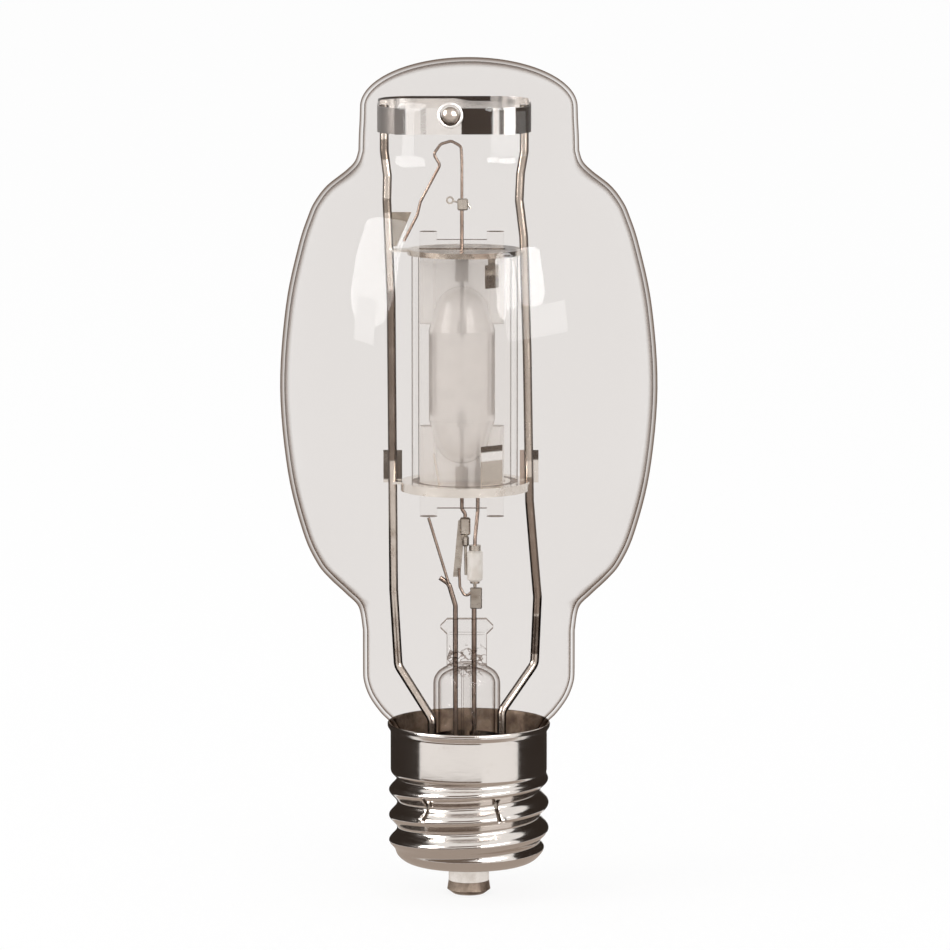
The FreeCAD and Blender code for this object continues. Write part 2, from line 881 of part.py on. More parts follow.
def main_electrode(foil_end, tip, x):
    """A tungsten rod with a coil wound near its tip."""
    inward = 1 if tip > foil_end else -1
    wound = straight_rod((x, 0, foil_end), (x, 0, tip), electrode_radius)
    pitch = coil_length / COIL_TURNS
    for index in range(COIL_TURNS):
        start = tip - inward * (0.8 + pitch * index)
        turn = straight_rod((x, 0, start), (x, 0, start - inward * 0.8 * pitch), coil_radius)
        wound = wound.fuse(turn)
    return wound


def starting_electrode(foil_end, x):
    tip = arc_body_bottom - arc_dome_rise * 0.55
    return straight_rod((x, 0, foil_end), (x, 0, tip), electrode_radius * 0.8)


def foil(x, low, width):
    return slab(width, foil_thickness, foil_length, x, 0, low)


# Top lead

def top_lead_path():
    """From the bridge plate up, over its hook and down to the crimp."""
    weld_y = post_radius + seat_gap - top_lead_radius - seat_gap
    return (
        (-15.9, weld_y, 161.9),
        (-12.6, weld_y, 168.3),
        (-11.8, weld_y, 171.6),
        (-7.0, 0.3, 180.6),
        (-8.6, 0, 183.2),
        (-6.9, 0, 185.7),
        (-4.3, 0, 186.5),
        (-1.9, 0, 185.2),
        (arc_x, 0, 181.5),
        (arc_x, 0, top_joint_height + joint_block_height / 2 + seat_gap),
    )


def bridge_plate():
    """The plate that ties the top lead to the left post."""
    bottom = upper_plate_height + 0.5
    top = bottom + bridge_height
    left = left_post_near(bottom) - 0.5
    back = post_radius + seat_gap
    corners = [
        vec(left, back, bottom), vec(left + 2.4, back, bottom),
        vec(left + bridge_width, back, top), vec(left, back, top),
    ]
    face = Part.Face(Part.makePolygon(corners + corners[:1]))
    return face.extrude(vec(0, bridge_thickness, 0))


def top_joint():
    """The folded crimp between the arc tube's lead and the top lead, with its eye."""
    block = eased_box(joint_block_width, joint_block_thickness, joint_block_height, 0.3,
                        arc_x + 0.2, 0, top_joint_height - joint_block_height / 2)
    eye = Part.makeCylinder(0.97, 0.44, vec(arc_x - 2.9, 0.22, top_joint_height + 1.0), FRONT)
    eye = eye.cut(Part.makeCylinder(0.53, 0.44, vec(arc_x - 2.9, 0.22, top_joint_height + 1.0), FRONT))
    link = straight_rod((arc_x - 2.1, 0, top_joint_height + 0.8), (arc_x - 0.6, 0, top_joint_height + 0.4), 0.2)
    tail = straight_rod((arc_x + 1.2, 0, top_joint_height + 0.6), (arc_x + 2.1, 0, top_joint_height - 1.0), 0.25)
    return block.fuse([eye, link, tail])


def upper_arc_lead():
    upper_foil = foil_places()[0]
    return straight_rod((arc_x, 0, upper_foil + foil_length), (arc_x, 0, top_joint_height - joint_block_height / 2 - seat_gap),
                        lead_radius)


# Starting gear

lower_lead_x = -0.9
block_top = 93.9
resistor_y = -lead_in_radius - seat_gap - tab_thickness / 2
block_height = 4.4


def lower_arc_lead():
    """From the lower foil down to the pale joint block."""
    lower_foil = foil_places()[1]
    leave = pinch_bottom_height + pinch_web_recess - slide_gap
    path = ((arc_x, 0, lower_foil), (arc_x, 0, leave), (lower_lead_x, 0, leave - 1.1),
            (lower_lead_x, 0, block_top + seat_gap))
    return bent_rod(path, lead_radius, 1.2)


def lower_joint():
    """Crimp block and the knot of wire under it."""
    block = eased_box(2.6, 1.6, block_height, 0.4, lower_lead_x, 0, block_top - block_height)
    neck = straight_rod((lower_lead_x, 0, block_top - block_height + 0.5),
                        (lower_lead_x + 0.2, 0, 79.6), 0.36)
    knot = eased_box(1.7, 1.5, 2.9, 0.5, lower_lead_x + 0.1, 0, 86.6)
    return block.fuse([neck, knot])


def starter_lead():
    """From the starting foil down to the resistor's cap."""
    lower_foil = foil_places()[1]
    leave = pinch_bottom_height + pinch_web_recess - slide_gap
    path = ((starter_x, 0, lower_foil), (starter_x, 0, leave - 0.4),
            (resistor_x, resistor_y, resistor_top_height + resistor_cap_height + 1.4),
            (resistor_x, resistor_y, resistor_top_height + resistor_cap_height + seat_gap))
    return bent_rod(path, lead_radius, 2.0)


def starting_resistor():
    low = resistor_top_height - resistor_length
    rod = Part.makeCylinder(resistor_radius, resistor_length, vec(resistor_x, resistor_y, low), UP)
    return rod.makeChamfer(0.5, [edge for edge in rod.Edges if edge.Closed])


def resistor_caps():
    """Metal end caps, the lower one with its tail."""
    top = Part.makeCylinder(resistor_cap_radius, resistor_cap_height,
                            vec(resistor_x, resistor_y, resistor_top_height + seat_gap), UP)
    low = resistor_top_height - resistor_length - seat_gap
    bottom = Part.makeCylinder(resistor_cap_radius * 0.8, 0.5, vec(resistor_x, resistor_y, low - 0.5), UP)
    tail = straight_rod((resistor_x, resistor_y, low - 0.3), (resistor_x, resistor_y, tab_top_height + seat_gap), 0.4)
    return Part.makeCompound([top, bottom.fuse(tail)])


def bimetal_strip():
    """The thermal switch's flat strip, which leans away from the resistor."""
    top = block_top - block_height * 0.2
    back = joint_block_thickness / 2 + seat_gap
    corners = [
        vec(-3.0 - strip_width / 2, back, strip_bottom_height), vec(-3.0 + strip_width / 2, back, strip_bottom_height),
        vec(-1.7 + strip_width / 2, back, top), vec(-1.7 - strip_width / 2, back, top),
    ]
    face = Part.Face(Part.makePolygon(corners + corners[:1]))
    return face.extrude(vec(0, strip_thickness, 0))


def switch_hook():
    """The wire hook that the strip rests on when it is cold."""
    back = joint_block_thickness / 2 + seat_gap
    front = back - 0.36 - seat_gap
    path = (
        (-2.4, front, strip_bottom_height + 2.2), (-2.2, front, 76.6), (-1.2, front, 74.6),
        (-0.3, front, 74.4), (0.6, front, 75.2), (1.0, front, 76.2),
    )
    return bent_rod(path, 0.34, 0.9)


def joint_tab():
    """The flat tab welded to the right lead-in wire."""
    return eased_box(tab_width, tab_thickness, tab_height, 0.2, lead_in_right_x + 0.5,
                       resistor_y, tab_top_height - tab_height)


def lead_in_left():
    return bent_rod(lead_in_left_path(), lead_in_radius, 2.4)


def lead_in_right():
    return straight_rod((lead_in_right_x, 0, lead_in_foot_height), (lead_in_right_x, 0, lead_in_right_top),
                        lead_in_radius)


def probe_wire():
    """The thin wire from the left lead-in up to the foot of the lower pinch."""
    y = -lead_in_radius - probe_wire_radius - seat_gap
    rib_x = arc_x - pinch_width / 2 + pinch_rib_width / 2
    return straight_rod((lead_in_left_x - 1.6, y, 77.4), (rib_x, y, pinch_bottom_height - slide_gap), probe_wire_radius)


# Wires inside the base

def contact_wire():
    path = ((lead_in_right_x, 0, lead_in_foot_height - seat_gap), (lead_in_right_x, 0, 18.0),
            (0, 0, insulator_top + 1.0), (0, 0, contact_wall + seat_gap))
    return bent_rod(path, base_wire_radius, 2.0)


def shell_wire():
    reach = thread_crest_radius - thread_depth - shell_wall - 0.6
    path = ((lead_in_left_x, 0, lead_in_foot_height - seat_gap), (lead_in_left_x, 0, 18.5),
            (-9.0, 0, 15.0), (-reach, 0, 15.0))
    return bent_rod(path, base_wire_radius, 2.0)


def build_parts():
    """Every piece of the lamp by its name."""
    left_path = left_post_path()
    right_path = right_post_path()
    posts = [post(left_path, seat_gap), post(right_path, seat_gap)]
    upper_foil, lower_foil = foil_places()
    middle = (arc_body_top + arc_body_bottom) / 2
    gap = (arc_body_top - arc_body_bottom) / 2 - electrode_tip_gap + arc_dome_rise * 0.3
    return {
        "outer_bulb": outer_bulb(),
        "screw_shell": screw_shell(),
        "base_insulator": base_insulator(),
        "centre_contact": centre_contact(),
        "base_cement": base_cement(),
        "glass_stem": glass_stem(),
        "stem_clamp": stem_clamp(),
        "frame_post_left": post(left_path),
        "frame_post_right": post(right_path),
        "dome_strap": dome_strap(),
        "strap_rivet": strap_rivet(),
        "upper_shroud_plate": upper_shroud_plate(posts),
        "lower_shroud_plate": lower_shroud_plate(posts),
        "shroud_tube": shroud_tube(),
        "arc_tube": arc_tube(),
        "upper_electrode": main_electrode(upper_foil, middle + gap, arc_x),
        "lower_electrode": main_electrode(lower_foil + foil_length, middle - gap, arc_x),
        "starting_electrode": starting_electrode(lower_foil + foil_length, starter_x),
        "upper_foil": foil(arc_x, upper_foil, foil_width),
        "lower_foil": foil(arc_x, lower_foil, foil_width),
        "starter_foil": foil(starter_x, lower_foil, starter_foil_width),
        "upper_arc_lead": upper_arc_lead(),
        "top_joint": top_joint(),
        "top_lead_wire": bent_rod(top_lead_path(), top_lead_radius, 1.3),
        "bridge_plate": bridge_plate(),
        "lower_arc_lead": lower_arc_lead(),
        "lower_joint": lower_joint(),
        "starter_lead": starter_lead(),
        "starting_resistor": starting_resistor(),
        "resistor_caps": resistor_caps(),
        "bimetal_strip": bimetal_strip(),
        "switch_hook": switch_hook(),
        "joint_tab": joint_tab(),
        "lead_in_left": lead_in_left(),
        "lead_in_right": lead_in_right(),
        "probe_wire": probe_wire(),
        "contact_wire": contact_wire(),
        "shell_wire": shell_wire(),
    }


for name, shape in build_parts().items():
    shape.exportStep("parts/" + name + ".step")
    print(name, "valid" if shape.isValid() else "NOT VALID", len(shape.Solids), "solids",
          round(shape.Volume, 2), "mm3")
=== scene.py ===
import logging
import math
from dataclasses import dataclass, replace
from enum import Enum
from typing import Optional, Sequence, Union

import bmesh
import bpy
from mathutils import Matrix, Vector


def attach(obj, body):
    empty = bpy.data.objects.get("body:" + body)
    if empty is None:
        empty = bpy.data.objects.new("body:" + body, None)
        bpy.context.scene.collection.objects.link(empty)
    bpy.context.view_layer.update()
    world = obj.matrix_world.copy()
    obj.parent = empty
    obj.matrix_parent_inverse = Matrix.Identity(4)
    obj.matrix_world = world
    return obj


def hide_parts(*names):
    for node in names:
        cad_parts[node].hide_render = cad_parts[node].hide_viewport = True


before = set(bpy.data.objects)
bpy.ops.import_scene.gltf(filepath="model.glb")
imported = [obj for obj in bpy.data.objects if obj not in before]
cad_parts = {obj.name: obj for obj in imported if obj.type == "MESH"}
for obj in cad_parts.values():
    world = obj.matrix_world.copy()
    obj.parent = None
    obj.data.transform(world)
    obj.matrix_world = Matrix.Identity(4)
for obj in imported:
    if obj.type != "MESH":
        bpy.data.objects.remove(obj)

LOG = logging.getLogger("lamp")
MM = 0.001
PER_METRE = 1000.0
Colour = tuple[float, float, float, float]
Point = tuple[float, float, float]
Pair = tuple[float, float]
Operand = Union["Value", float]
Shade = Union["Value", Colour]
WHITE: Colour = (1.0, 1.0, 1.0, 1.0)


def rgb(red: float, green: float, blue: float) -> Colour:
    """Turn display values into a linear colour.

    Args:
        red: Red, from 0 to 255.
        green: Green, from 0 to 255.
        blue: Blue, from 0 to 255.

    Returns:
        The linear colour, opaque.
    """
    def linear(value: float) -> float:
        """Return one display value as a linear share."""
        share = value / 255.0
        return share / 12.92 if share <= 0.04045 else ((share + 0.055) / 1.055) ** 2.4

    return (linear(red), linear(green), linear(blue), 1.0)


# Shader trees


class Value:
    """One output socket of a shader tree, with arithmetic that adds Math nodes."""

    def __init__(self, tree: "Tree", socket: bpy.types.NodeSocket) -> None:
        """Wrap one socket of a tree."""
        self.tree = tree
        self.socket = socket

    def _math(self, operation: str, *values: Operand) -> "Value":
        """Return the result of one Math node."""
        return self.tree.node("ShaderNodeMath", {"operation": operation}, dict(enumerate(values)))[0]

    def __add__(self, other: Operand) -> "Value":
        """Return this value plus another."""
        return self._math("ADD", self, other)

    def __radd__(self, other: Operand) -> "Value":
        """Return another value plus this one."""
        return self._math("ADD", other, self)

    def __sub__(self, other: Operand) -> "Value":
        """Return this value less another."""
        return self._math("SUBTRACT", self, other)

    def __rsub__(self, other: Operand) -> "Value":
        """Return another value less this one."""
        return self._math("SUBTRACT", other, self)

    def __mul__(self, other: Operand) -> "Value":
        """Return this value times another."""
        return self._math("MULTIPLY", self, other)

    def __rmul__(self, other: Operand) -> "Value":
        """Return another value times this one."""
        return self._math("MULTIPLY", other, self)

    def absolute(self) -> "Value":
        """Return the size of this value."""
        return self._math("ABSOLUTE", self)

    def most(self, other: Operand) -> "Value":
        """Return the larger of this value and another."""
        return self._math("MAXIMUM", self, other)

    def ramp(self, low: float, high: float, start: float = 0.0, end: float = 1.0) -> "Value":
        """Map a range of this value smoothly to another range, clamped.

        Args:
            low: The value that gives start.
            high: The value that gives end.
            start: The result at low and below.
            end: The result at high and above.

        Returns:
            The mapped value.
        """
        made = self.tree.node("ShaderNodeMapRange", {"interpolation_type": "SMOOTHSTEP"},
                              {"Value": self, "From Min": low, "From Max": high,
                               "To Min": start, "To Max": end})
        return made["Result"]

    def band(self, low: float, high: float, rise: Pair, fall: Pair) -> "Value":
        """Return 1 where this value lies between two others, and 0 beyond them.

        Args:
            low: Where the band starts.
            high: Where the band ends.
            rise: How far the start is spread below and above low.
            fall: How far the end is spread below and above high.

        Returns:
            The band, from 0 to 1.
        """
        start = self.ramp(low - rise[0], low + rise[1])
        return start * self.ramp(high - fall[0], high + fall[1], 1.0, 0.0)


class Outputs:
    """The outputs of one node, by name or place, as Values."""

    def __init__(self, tree: "Tree", node: bpy.types.Node) -> None:
        """Wrap one node of a tree."""
        self.tree = tree
        self.node = node

    def __getitem__(self, key: Union[str, int]) -> Value:
        """Return one output."""
        return Value(self.tree, self.node.outputs[key])


class Tree:
    """A node tree under construction."""

    def __init__(self, tree: bpy.types.NodeTree) -> None:
        """Empty a tree, ready for new nodes."""
        self.tree = tree
        tree.nodes.clear()

    def node(self, kind: str, settings: Optional[dict] = None, sockets: Optional[dict] = None) -> Outputs:
        """Add one node.

        Args:
            kind: Blender's node type.
            settings: Attributes to set on the node.
            sockets: Input values by name or place; a Value is linked, anything else is set.

        Returns:
            The node's outputs.
        """
        made = self.tree.nodes.new(kind)
        for name, value in (settings or {}).items():
            setattr(made, name, value)
        for name, value in (sockets or {}).items():
            if isinstance(value, Value):
                self.tree.links.new(value.socket, made.inputs[name])
            else:
                made.inputs[name].default_value = value
        return Outputs(self, made)

    def place(self) -> Value:
        """Return the surface's position in the row frame, in metres."""
        return self.node("ShaderNodeTexCoord")["Object"]

    def axis(self, vector: Value, name: str) -> Value:
        """Return one coordinate of a vector."""
        return self.node("ShaderNodeSeparateXYZ", {}, {0: vector})[name]

    def millimetres(self, vector: Value, name: str) -> Value:
        """Return one coordinate of a place, in millimetres."""
        return self.axis(vector, name) * PER_METRE

    def scaled(self, vector: Value, by: Sequence[float]) -> Value:
        """Return a vector with each coordinate multiplied."""
        return self.node("ShaderNodeVectorMath", {"operation": "MULTIPLY"}, {0: vector, 1: tuple(by)})[0]

    def noise(self, vector: Value, scale: float, detail: float = 3.0, rough: float = 0.5) -> Value:
        """Return a noise pattern, 0 to 1, with scale cells per metre."""
        return self.node("ShaderNodeTexNoise", {}, {"Vector": vector, "Scale": scale, "Detail": detail,
                                                    "Roughness": rough})[0]

    def mix(self, share: Operand, first: Shade, second: Shade) -> Value:
        """Return a colour between two colours."""
        return self.node("ShaderNodeMix", {"data_type": "RGBA"}, {0: share, 6: first, 7: second})[2]

    def bump(self, height: Value, strength: float, distance: float) -> Value:
        """Return a normal bent by a height pattern."""
        return self.node("ShaderNodeBump", {}, {"Strength": strength, "Distance": distance,
                                                "Height": height})[0]

    def blend(self, share: Operand, first: Value, second: Value) -> Value:
        """Return a mix of two shaders."""
        return self.node("ShaderNodeMixShader", {}, {0: share, 1: first, 2: second})[0]

    def clear(self, colour: Colour) -> Value:
        """Return a shader that lets light through in a colour."""
        return self.node("ShaderNodeBsdfTransparent", {}, {"Color": colour})[0]

    def facing(self, blend: float = 0.5) -> Value:
        """Return 0 where the surface faces the eye and 1 where it turns away."""
        return self.node("ShaderNodeLayerWeight", {}, {"Blend": blend})["Facing"]

    def fresnel(self, ior: float) -> Value:
        """Return the share of light that a clear surface reflects, 0 on its far side."""
        front = 1.0 - self.node("ShaderNodeNewGeometry")["Backfacing"]
        return self.node("ShaderNodeFresnel", {}, {"IOR": ior})[0] * front

    def surface(self, shader: Value) -> None:
        """Use a shader as the tree's surface."""
        self.node("ShaderNodeOutputMaterial" if isinstance(self.tree.id_data, bpy.types.Material)
                  else "ShaderNodeOutputWorld", {}, {0: shader})


# Finishes


@dataclass(frozen=True)
class Finish:
    """A surface finish; build makes its material."""

    name: str

    def paint(self, tree: Tree) -> Value:
        """Return the finish's shader."""
        raise NotImplementedError

    def build(self) -> bpy.types.Material:
        """Make the material, on first use only.

        Returns:
            The material.
        """
        name = "look_" + self.name
        made = bpy.data.materials.get(name)
        if made is None:
            made = bpy.data.materials.new(name)
            made.use_nodes = True
            tree = Tree(made.node_tree)
            tree.surface(self.paint(tree))
        return made


@dataclass(frozen=True)
class ToneStretch:
    """A stretch of a plate given its own colour, by its place in the row frame.

    Attributes:
        left: Its X from, in millimetres.
        right: Its X to.
        low: Its Z from.
        high: Its Z to.
        colour: Its colour.
    """

    left: float
    right: float
    low: float
    high: float
    colour: Colour


@dataclass(frozen=True)
class Plated(Finish):
    """Nickel-plated sheet or wire with drawn lines, stains and dull patches, and, where set, painted shade
    at its rims.

    Attributes:
        bright: Colour of the clean plate.
        stain: Colour of the aged patches.
        rough: Base roughness.
        stain_share: How much of the surface is stained.
        grain: Direction scales of the drawn lines.
        depth: Strength of the drawn lines' relief.
        edge_dark: How far the colour falls to a painted brown shade where the surface turns away.
        regions: The stretches given their own colour.
    """

    bright: Colour
    stain: Colour
    rough: float = 0.22
    stain_share: float = 0.5
    grain: Point = (1.0, 1.0, 1.0)
    depth: float = 0.04
    edge_dark: float = 0.0
    regions: tuple[ToneStretch, ...] = ()

    def paint(self, tree: Tree) -> Value:
        """Build the plate's shader.

        Args:
            tree: The material's tree.

        Returns:
            The shader.
        """
        place = tree.place()
        lines = tree.noise(tree.scaled(place, self.grain), 900.0, 4.0)
        cloud = tree.noise(place, 160.0, 5.0, 0.6)
        patch = cloud.ramp(0.62 - 0.4 * self.stain_share, 0.95 - 0.4 * self.stain_share)
        worn = lines.ramp(0.2, 0.8, self.rough * 0.75, self.rough * 1.3) + patch * 0.08
        return tree.node("ShaderNodeBsdfPrincipled", {}, {
            "Base Color": self.paint_rim_shade(tree, self.colour(tree, place, patch)),
            "Metallic": 1.0,
            "Roughness": worn + self.dulled(tree, place),
            "Normal": tree.bump(lines + cloud, self.depth, 0.0004),
        })[0]

    def colour(self, tree: Tree, place: Value, patch: Value) -> Value:
        """Build the plate's colour with its stretches of their own colour.

        Args:
            tree: The material's tree.
            place: The surface's position.
            patch: How aged the plate is, from 0 to 1.

        Returns:
            The colour.
        """
        colour = tree.mix(patch, self.bright, self.stain)
        if self.regions:
            across = tree.millimetres(place, "X")
            height = tree.millimetres(place, "Z")
            for region in self.regions:
                share = across.band(region.left, region.right, (0.2, 0.2), (0.2, 0.2))
                share = share * height.band(region.low, region.high, (0.3, 0.3), (0.3, 0.3))
                colour = tree.mix(share * (1.0 - patch * 0.3), colour, region.colour)
        return colour

    def dulled(self, tree: Tree, place: Value) -> Operand:
        """Return how much rougher the plate is at a place."""
        return 0.0

    def paint_rim_shade(self, tree: Tree, colour: Value) -> Value:
        """Paint a brown shade where the surface turns away, standing for dark surroundings seen in the rims.

        Args:
            tree: The material's tree.
            colour: The colour seen square on.

        Returns:
            The colour to use.
        """
        if not self.edge_dark:
            return colour
        # Painted shade: the rims are mixed towards brown by how far they turn from the eye.
        turned = tree.facing(0.5).ramp(0.06, 0.36) * self.edge_dark
        return tree.mix(turned, colour, rgb(70, 58, 50))


@dataclass(frozen=True)
class Fired(Finish):
    """Opaque fired ceramic, cement or glass insulator with pits and mottling.

    Attributes:
        body: The main colour.
        mottle: The colour of the mottling.
        rough: Base roughness.
        pits: Strength of the pits' relief.
        coat: Weight of the glaze.
    """

    body: Colour
    mottle: Colour
    rough: float = 0.5
    pits: float = 0.15
    coat: float = 0.0

    def paint(self, tree: Tree) -> Value:
        """Build the ceramic's shader.

        Args:
            tree: The material's tree.

        Returns:
            The shader.
        """
        place = tree.place()
        cloud = tree.noise(place, 320.0, 5.0, 0.6)
        fine = tree.noise(place, 2400.0, 3.0)
        return tree.node("ShaderNodeBsdfPrincipled", {}, {
            "Base Color": tree.mix(cloud.ramp(0.35, 0.7), self.body, self.mottle),
            "Roughness": fine.ramp(0.2, 0.8, self.rough * 0.8, self.rough * 1.2),
            "Coat Weight": self.coat,
            "Normal": tree.bump(fine + cloud, self.pits, 0.0003),
        })[0]


@dataclass(frozen=True)
class Clear(Finish):
    """Blown glass, drawn as thin walls that tint and darken towards their rims.

    Attributes:
        tint: Colour let through by one surface seen square on.
        rim: Colour let through where the surface turns away.
        rim_start: Facing value at which the rim begins.
        rim_end: Facing value at which the rim is full.
        ripple: Strength of the surface's unevenness.
        ripple_scale: Waves of the unevenness per metre.
        gloss: Share of the mirror reflection that is kept.
        frost: Most of the surface that a milky film may cover.
        frost_zone: Heights between which the film lies, in millimetres.
        frost_colour: The film's colour.
        crease_zone: Heights between which the glass is pinched into folds, in millimetres.
        gloss_from: Height above which the gloss is full, in millimetres.
        line_zone: Heights between which the sides show as wide dark lines, in millimetres.
    """

    tint: Colour
    rim: Colour
    rim_start: float = 0.80
    rim_end: float = 1.0
    ripple: float = 0.02
    ripple_scale: float = 30.0
    gloss: float = 0.5
    frost: float = 0.0
    frost_zone: tuple[float, float] = (0.0, 300.0)
    frost_colour: Colour = (0.86, 0.83, 0.81, 1.0)
    crease_zone: Optional[tuple[float, float]] = None
    gloss_from: float = 0.0
    line_zone: Optional[tuple[float, float]] = None

    def paint(self, tree: Tree) -> Value:
        """Build the glass's shader.

        Args:
            tree: The material's tree.

        Returns:
            The shader.
        """
        place = tree.place()
        waves = tree.noise(place, self.ripple_scale, 3.0)
        height = tree.millimetres(place, "Z")
        edge = self.outline(tree, place, height)
        body = tree.blend(edge, tree.clear(self.tint), tree.clear(self.rim))
        if self.frost:
            low, high = self.frost_zone
            zone = height.band(low, high, (3.0, 1.0), (1.0, 3.0))
            cloud = tree.noise(place, 90.0, 3.0).ramp(0.25, 0.75, 0.8, 1.0)
            body = tree.blend(zone * cloud * self.frost, body, self.film(tree, waves))
        mirror = tree.node("ShaderNodeBsdfPrincipled", {}, {
            "Base Color": WHITE, "Metallic": 1.0, "Roughness": 0.04,
            "Normal": tree.bump(waves, self.ripple, 0.002)})[0]
        shine = tree.fresnel(1.47) * self.gloss * (1.0 - edge)
        if self.gloss_from:
            shine = shine * height.ramp(self.gloss_from - 4.0, self.gloss_from + 8.0, 0.12, 1.0)
        return tree.blend(shine, body, mirror)

    def outline(self, tree: Tree, place: Value, height: Value) -> Value:
        """Find where the glass shows dark: its rims, its wide side lines and its folds.

        Args:
            tree: The material's tree.
            place: The surface's position.
            height: Its height in millimetres.

        Returns:
            The darkness, from 0 to 1.
        """
        edge = tree.facing(0.5).ramp(self.rim_start, self.rim_end)
        if self.line_zone:
            low, high = self.line_zone
            zone = height.band(low, high, (0.5, 0.5), (0.5, 0.5))
            edge = edge.most(tree.facing(0.5).ramp(0.46, 0.62) * zone)
        if self.crease_zone:
            low, high = self.crease_zone
            zone = height.band(low, high, (1.0, 1.5), (1.0, 1.0))
            fold = tree.noise(tree.scaled(place, (1.0, 1.0, 1.5)), 300.0, 2.0)
            edge = edge.most((fold - 0.5).absolute().ramp(0.01, 0.04, 1.0, 0.0) * zone)
        return edge

    def film(self, tree: Tree, waves: Value) -> Value:
        """Build the milky film's shader.

        Args:
            tree: The material's tree.
            waves: The surface's unevenness.

        Returns:
            The shader.
        """
        milk = tree.node("ShaderNodeBsdfTranslucent", {}, {"Color": self.frost_colour})[0]
        skin = tree.node("ShaderNodeBsdfPrincipled", {}, {
            "Base Color": tree.mix(waves, self.frost_colour, (0.95, 0.94, 0.93, 1.0)),
            "Roughness": waves.ramp(0.2, 0.8, 0.3, 0.5)})[0]
        return tree.blend(0.4, milk, skin)


@dataclass(frozen=True)
class PaintedShadeStretch:
    """A stretch along the strap's front where a dark reflection is painted into the plate's colour.

    Attributes:
        start: Its X from, in millimetres.
        end: Its X to.
        depth: How dark it is, from 0 to 1.
    """

    start: float
    end: float
    depth: float


@dataclass(frozen=True)
class Strap(Plated):
    """The dome strap's plate: bright in the middle, with dark reflections painted in at both ends and on its
    back.

    Attributes:
        zones: The stretches along the strap's front where a dark reflection is painted.
        back: The X from and X to of the back's stretch of painted dark reflection, and the height above
            which
        it is painted dark at its left and at its right, all in millimetres.
    """

    # Painted dark reflection: the stretches along the front where the strap's colour is darkened.
    zones: tuple[PaintedShadeStretch, ...] = (
        PaintedShadeStretch(-30.0, -15.2, 0.84), PaintedShadeStretch(-11.6, -10.3, 0.3), PaintedShadeStretch(-1.8, 5.8, 1.0),
        PaintedShadeStretch(7.3, 8.5, 0.95), PaintedShadeStretch(11.2, 30.0, 1.0))
    back: tuple[float, float, float, float] = (-22.5, 5.4, 195.75, 195.1)

    def dark(self, tree: Tree, place: Value) -> Value:
        """Find how much painted dark reflection the strap has at a place.

        Args:
            tree: The material's tree.
            place: The surface's position.

        Returns:
            The painted darkness, from 0 to 1.
        """
        along = tree.millimetres(place, "X")
        height = tree.millimetres(place, "Z")
        front = tree.axis(place, "Y").ramp(-0.004, 0.004, 1.0, 0.0)
        soft = (0.2, 0.2)
        # Painted dark reflection on the back above a slanting edge, and on the front's stretches.
        start, end, left, right = self.back
        edge = height + along.ramp(-4.0, 1.0, 0.0, left - right)
        dark = along.band(start, end, soft, soft) * edge.ramp(left - 0.15, left + 0.15) * (1.0 - front)
        for zone in self.zones:
            dark = dark.most(along.band(zone.start, zone.end, soft, soft) * front * zone.depth)
        return dark

    def dulled(self, tree: Tree, place: Value) -> Value:
        """Return the extra roughness where the dark reflection is painted."""
        return self.dark(tree, place) * 0.2

    def colour(self, tree: Tree, place: Value, patch: Value) -> Value:
        """Return the plate's colour with its painted dark reflections."""
        clean = tree.mix(patch, self.bright, self.stain)
        # Painted dark reflection: the plate is mixed towards dark brown where the dark stretches lie.
        return tree.mix(self.dark(tree, place), clean, rgb(56, 47, 41))


FRAME_TONES = (
    ToneStretch(-22.0, -15.0, 108.0, 150.0, rgb(122, 108, 97)),
    ToneStretch(10.0, 19.0, 70.0, 104.0, rgb(140, 124, 112)),
    ToneStretch(10.0, 19.0, 60.0, 69.5, rgb(96, 84, 75)),
    ToneStretch(-22.0, -15.0, 169.0, 172.5, rgb(150, 138, 127)),
    ToneStretch(-22.0, -15.0, 182.0, 187.0, rgb(140, 128, 117)),
    ToneStretch(10.0, 18.0, 108.0, 190.0, rgb(186, 174, 163)),
)
UPPER_TONES = (
    ToneStretch(8.5, 11.5, 158.0, 162.0, rgb(62, 54, 48)),
    ToneStretch(-20.0, -12.0, 151.0, 162.0, rgb(214, 208, 200)),
    ToneStretch(4.0, 9.0, 155.6, 157.4, rgb(112, 100, 90)),
    ToneStretch(4.0, 9.0, 151.0, 154.4, rgb(92, 80, 70)),
)
PLATE_SHEEN_AND_TONES = (
    # Painted reflection: these three rows lay a dark strip, a white highlight and a grey band on the plate,
    # standing for the light and shade on a curved bright bracket.
    ToneStretch(2.6, 9.0, 111.1, 113.0, rgb(104, 92, 82)),
    ToneStretch(2.6, 9.0, 108.9, 111.1, rgb(252, 251, 250)),
    ToneStretch(2.6, 9.0, 103.5, 108.9, rgb(202, 194, 184)),
    ToneStretch(-21.5, -15.6, 103.2, 113.0, rgb(104, 94, 85)),
    ToneStretch(15.6, 18.0, 108.0, 113.0, rgb(90, 80, 72)),
    ToneStretch(10.5, 15.2, 103.2, 113.0, rgb(190, 172, 160)),
)


